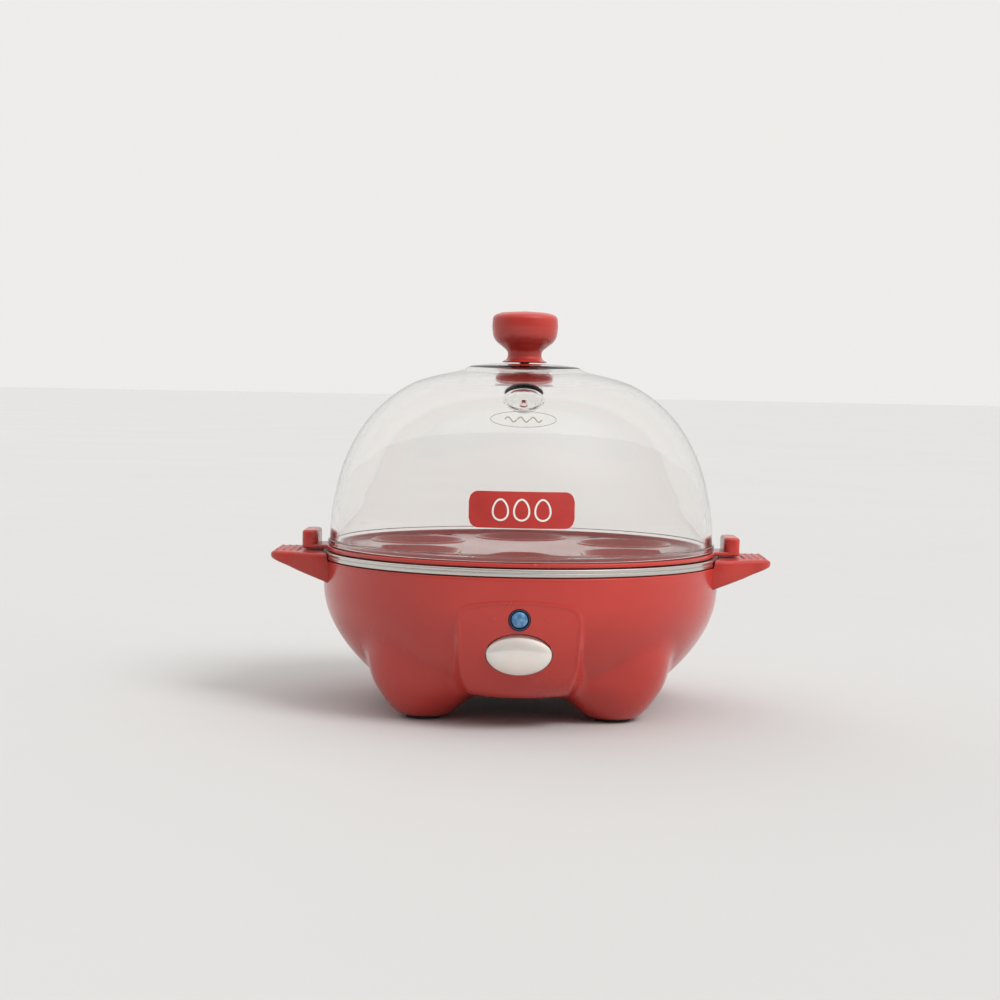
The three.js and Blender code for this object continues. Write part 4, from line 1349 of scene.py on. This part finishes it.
class COOKER_OT_inner_pieces(bpy.types.Operator):
    """Gives the pieces inside the base their finishes"""

    bl_idname = "cooker.inner_pieces"
    bl_label = "Inner Pieces"

    def execute(self, context):
        for node, material in inner_finishes().items():
            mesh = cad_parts[node].data
            mesh.materials.clear()
            mesh.materials.append(material)
        return {"FINISHED"}


# --- stage ----------------------------------------------------------------------------------------

KEY_SOURCE = (0.62, -0.5, 0.8)  # the key light comes from here
ROOM_TONE = 0.95  # brightness of the room where it is seen directly


def sun_light(name, source, power, spread, colour):
    """A far light that comes from the direction `source`, softened by its width in degrees."""
    light = bpy.data.lights.new(name, "SUN")
    light.energy = power
    light.color = colour
    light.angle = math.radians(spread)
    lamp = bpy.data.objects.new(name, light)
    bpy.context.scene.collection.objects.link(lamp)
    lamp.rotation_euler = Vector(source).to_track_quat("Z", "Y").to_euler()
    lamp.visible_transmission = False
    lamp.visible_glossy = False  # its soft glow in the room is what gets reflected


class COOKER_OT_stage(bpy.types.Operator):
    """Sets the camera, the pale floor and the soft lights"""

    bl_idname = "cooker.stage"
    bl_label = "Stage"

    def execute(self, context):
        scene = context.scene
        camera_data = bpy.data.cameras.new("camera")
        camera = bpy.data.objects.new("camera", camera_data)
        scene.collection.objects.link(camera)
        scene.camera = camera
        camera_data.sensor_width = 36.0
        camera_data.lens = 69.3
        pitch, roll = math.radians(5.0), math.radians(-1.1)
        camera.location = (0.0, -0.7, 0.1145)
        camera.rotation_euler = (math.pi / 2 - pitch, roll, 0.0)
        camera_data.shift_x = -0.024
        camera_data.shift_y = 0.058
        camera_data.clip_end = 100.0

        floor = put("floor", *revolved([(0, 0), (900, 0), (30000, 0)], 96), floor_finish())
        scene.view_settings.view_transform = "Standard"
        scene.world = pale_room()
        sun_light("key", KEY_SOURCE, 1.7, 24, (1.0, 0.985, 0.965))
        sun_light("back", (-0.5, 0.75, 0.6), 0.4, 40, (1.0, 1.0, 1.0))
        return {"FINISHED"}


def pale_room():
    """Soft room: what is seen directly is plain; what is reflected is brighter above and behind."""
    world = bpy.data.worlds.new("Pale room")
    world.use_nodes = True
    tree = world.node_tree
    direction = tree.nodes.new("ShaderNodeTexCoord").outputs["Generated"]
    way = separated(tree, direction)
    back = map_range(tree, way["Y"], -0.95, 0.1, 0.3, 1.0)
    overhead = map_range(tree, way["Z"], 0.35, 0.8, 0.3, 1.0)
    rising = map_range(tree, way["Z"], 0.0, 0.9, 0.72, 1.15)
    room = math_node(tree, "MULTIPLY", math_node(tree, "MAXIMUM", back, overhead), rising)
    glow = tree.nodes.new("ShaderNodeVectorMath")
    glow.operation = "DOT_PRODUCT"
    tree.links.new(direction, glow.inputs[0])
    glow.inputs[1].default_value = Vector(KEY_SOURCE).normalized()
    lobe = math_node(tree, "POWER", math_node(tree, "MAXIMUM", glow.outputs["Value"], 0.0), 9.0)
    room = math_node(tree, "ADD", room, math_node(tree, "MULTIPLY", lobe, 1.5))
    path = tree.nodes.new("ShaderNodeLightPath")
    direct = math_node(tree, "MAXIMUM", path.outputs["Is Camera Ray"], path.outputs["Is Transmission Ray"])
    mix = tree.nodes.new("ShaderNodeMix")
    tree.links.new(direct, mix.inputs["Factor"])
    tree.links.new(room, mix.inputs["A"])
    mix.inputs["B"].default_value = ROOM_TONE
    sky = tree.nodes["Background"]
    sky.inputs["Color"].default_value = (0.9, 0.888, 0.87, 1.0)
    tree.links.new(mix.outputs["Result"], sky.inputs["Strength"])
    return world


@made_once("Pale floor")
def floor_finish(name):
    base = tuple(colours().floor)
    finish = Finish(name, base, 0.7)
    finish.cloud(shade(base, 0.97), 1.5, 0.5)
    finish.marks(0.62, 0.78, 4.0)
    return finish


# --- add-on ---------------------------------------------------------------------------------------

BUILD_ORDER = (
    COOKER_OT_stage, COOKER_OT_base_shell, COOKER_OT_underside, COOKER_OT_heating_plate,
    COOKER_OT_egg_tray, COOKER_OT_dome, COOKER_OT_prints, COOKER_OT_knob, COOKER_OT_button,
    COOKER_OT_indicator, COOKER_OT_gland, COOKER_OT_inner_pieces,
)


class COOKER_PT_sidebar(bpy.types.Panel):
    """Lists the steps that build the egg cooker"""

    bl_idname = "COOKER_PT_sidebar"
    bl_label = "Egg Cooker"
    bl_space_type = "VIEW_3D"
    bl_region_type = "UI"
    bl_category = "Egg Cooker"

    def draw(self, context):
        for group in (context.scene.cooker_sizes, context.scene.cooker_colours):
            for name in group.bl_rna.properties.keys():
                if name not in ("rna_type", "name"):
                    self.layout.prop(group, name)
        for operator in BUILD_ORDER:
            self.layout.operator(operator.bl_idname)


CLASSES = (CookerSizes, CookerColours, *BUILD_ORDER, COOKER_PT_sidebar)


def register():
    for item in CLASSES:
        bpy.utils.register_class(item)
    bpy.types.Scene.cooker_sizes = bpy.props.PointerProperty(type=CookerSizes)
    bpy.types.Scene.cooker_colours = bpy.props.PointerProperty(type=CookerColours)


def unregister():
    del bpy.types.Scene.cooker_colours
    del bpy.types.Scene.cooker_sizes
    for item in reversed(CLASSES):
        bpy.utils.unregister_class(item)


def main():
    register()
    for operator in BUILD_ORDER:
        group, name = operator.bl_idname.split(".")
        getattr(getattr(bpy.ops, group), name)()


if __name__ == "__main__":
    main()
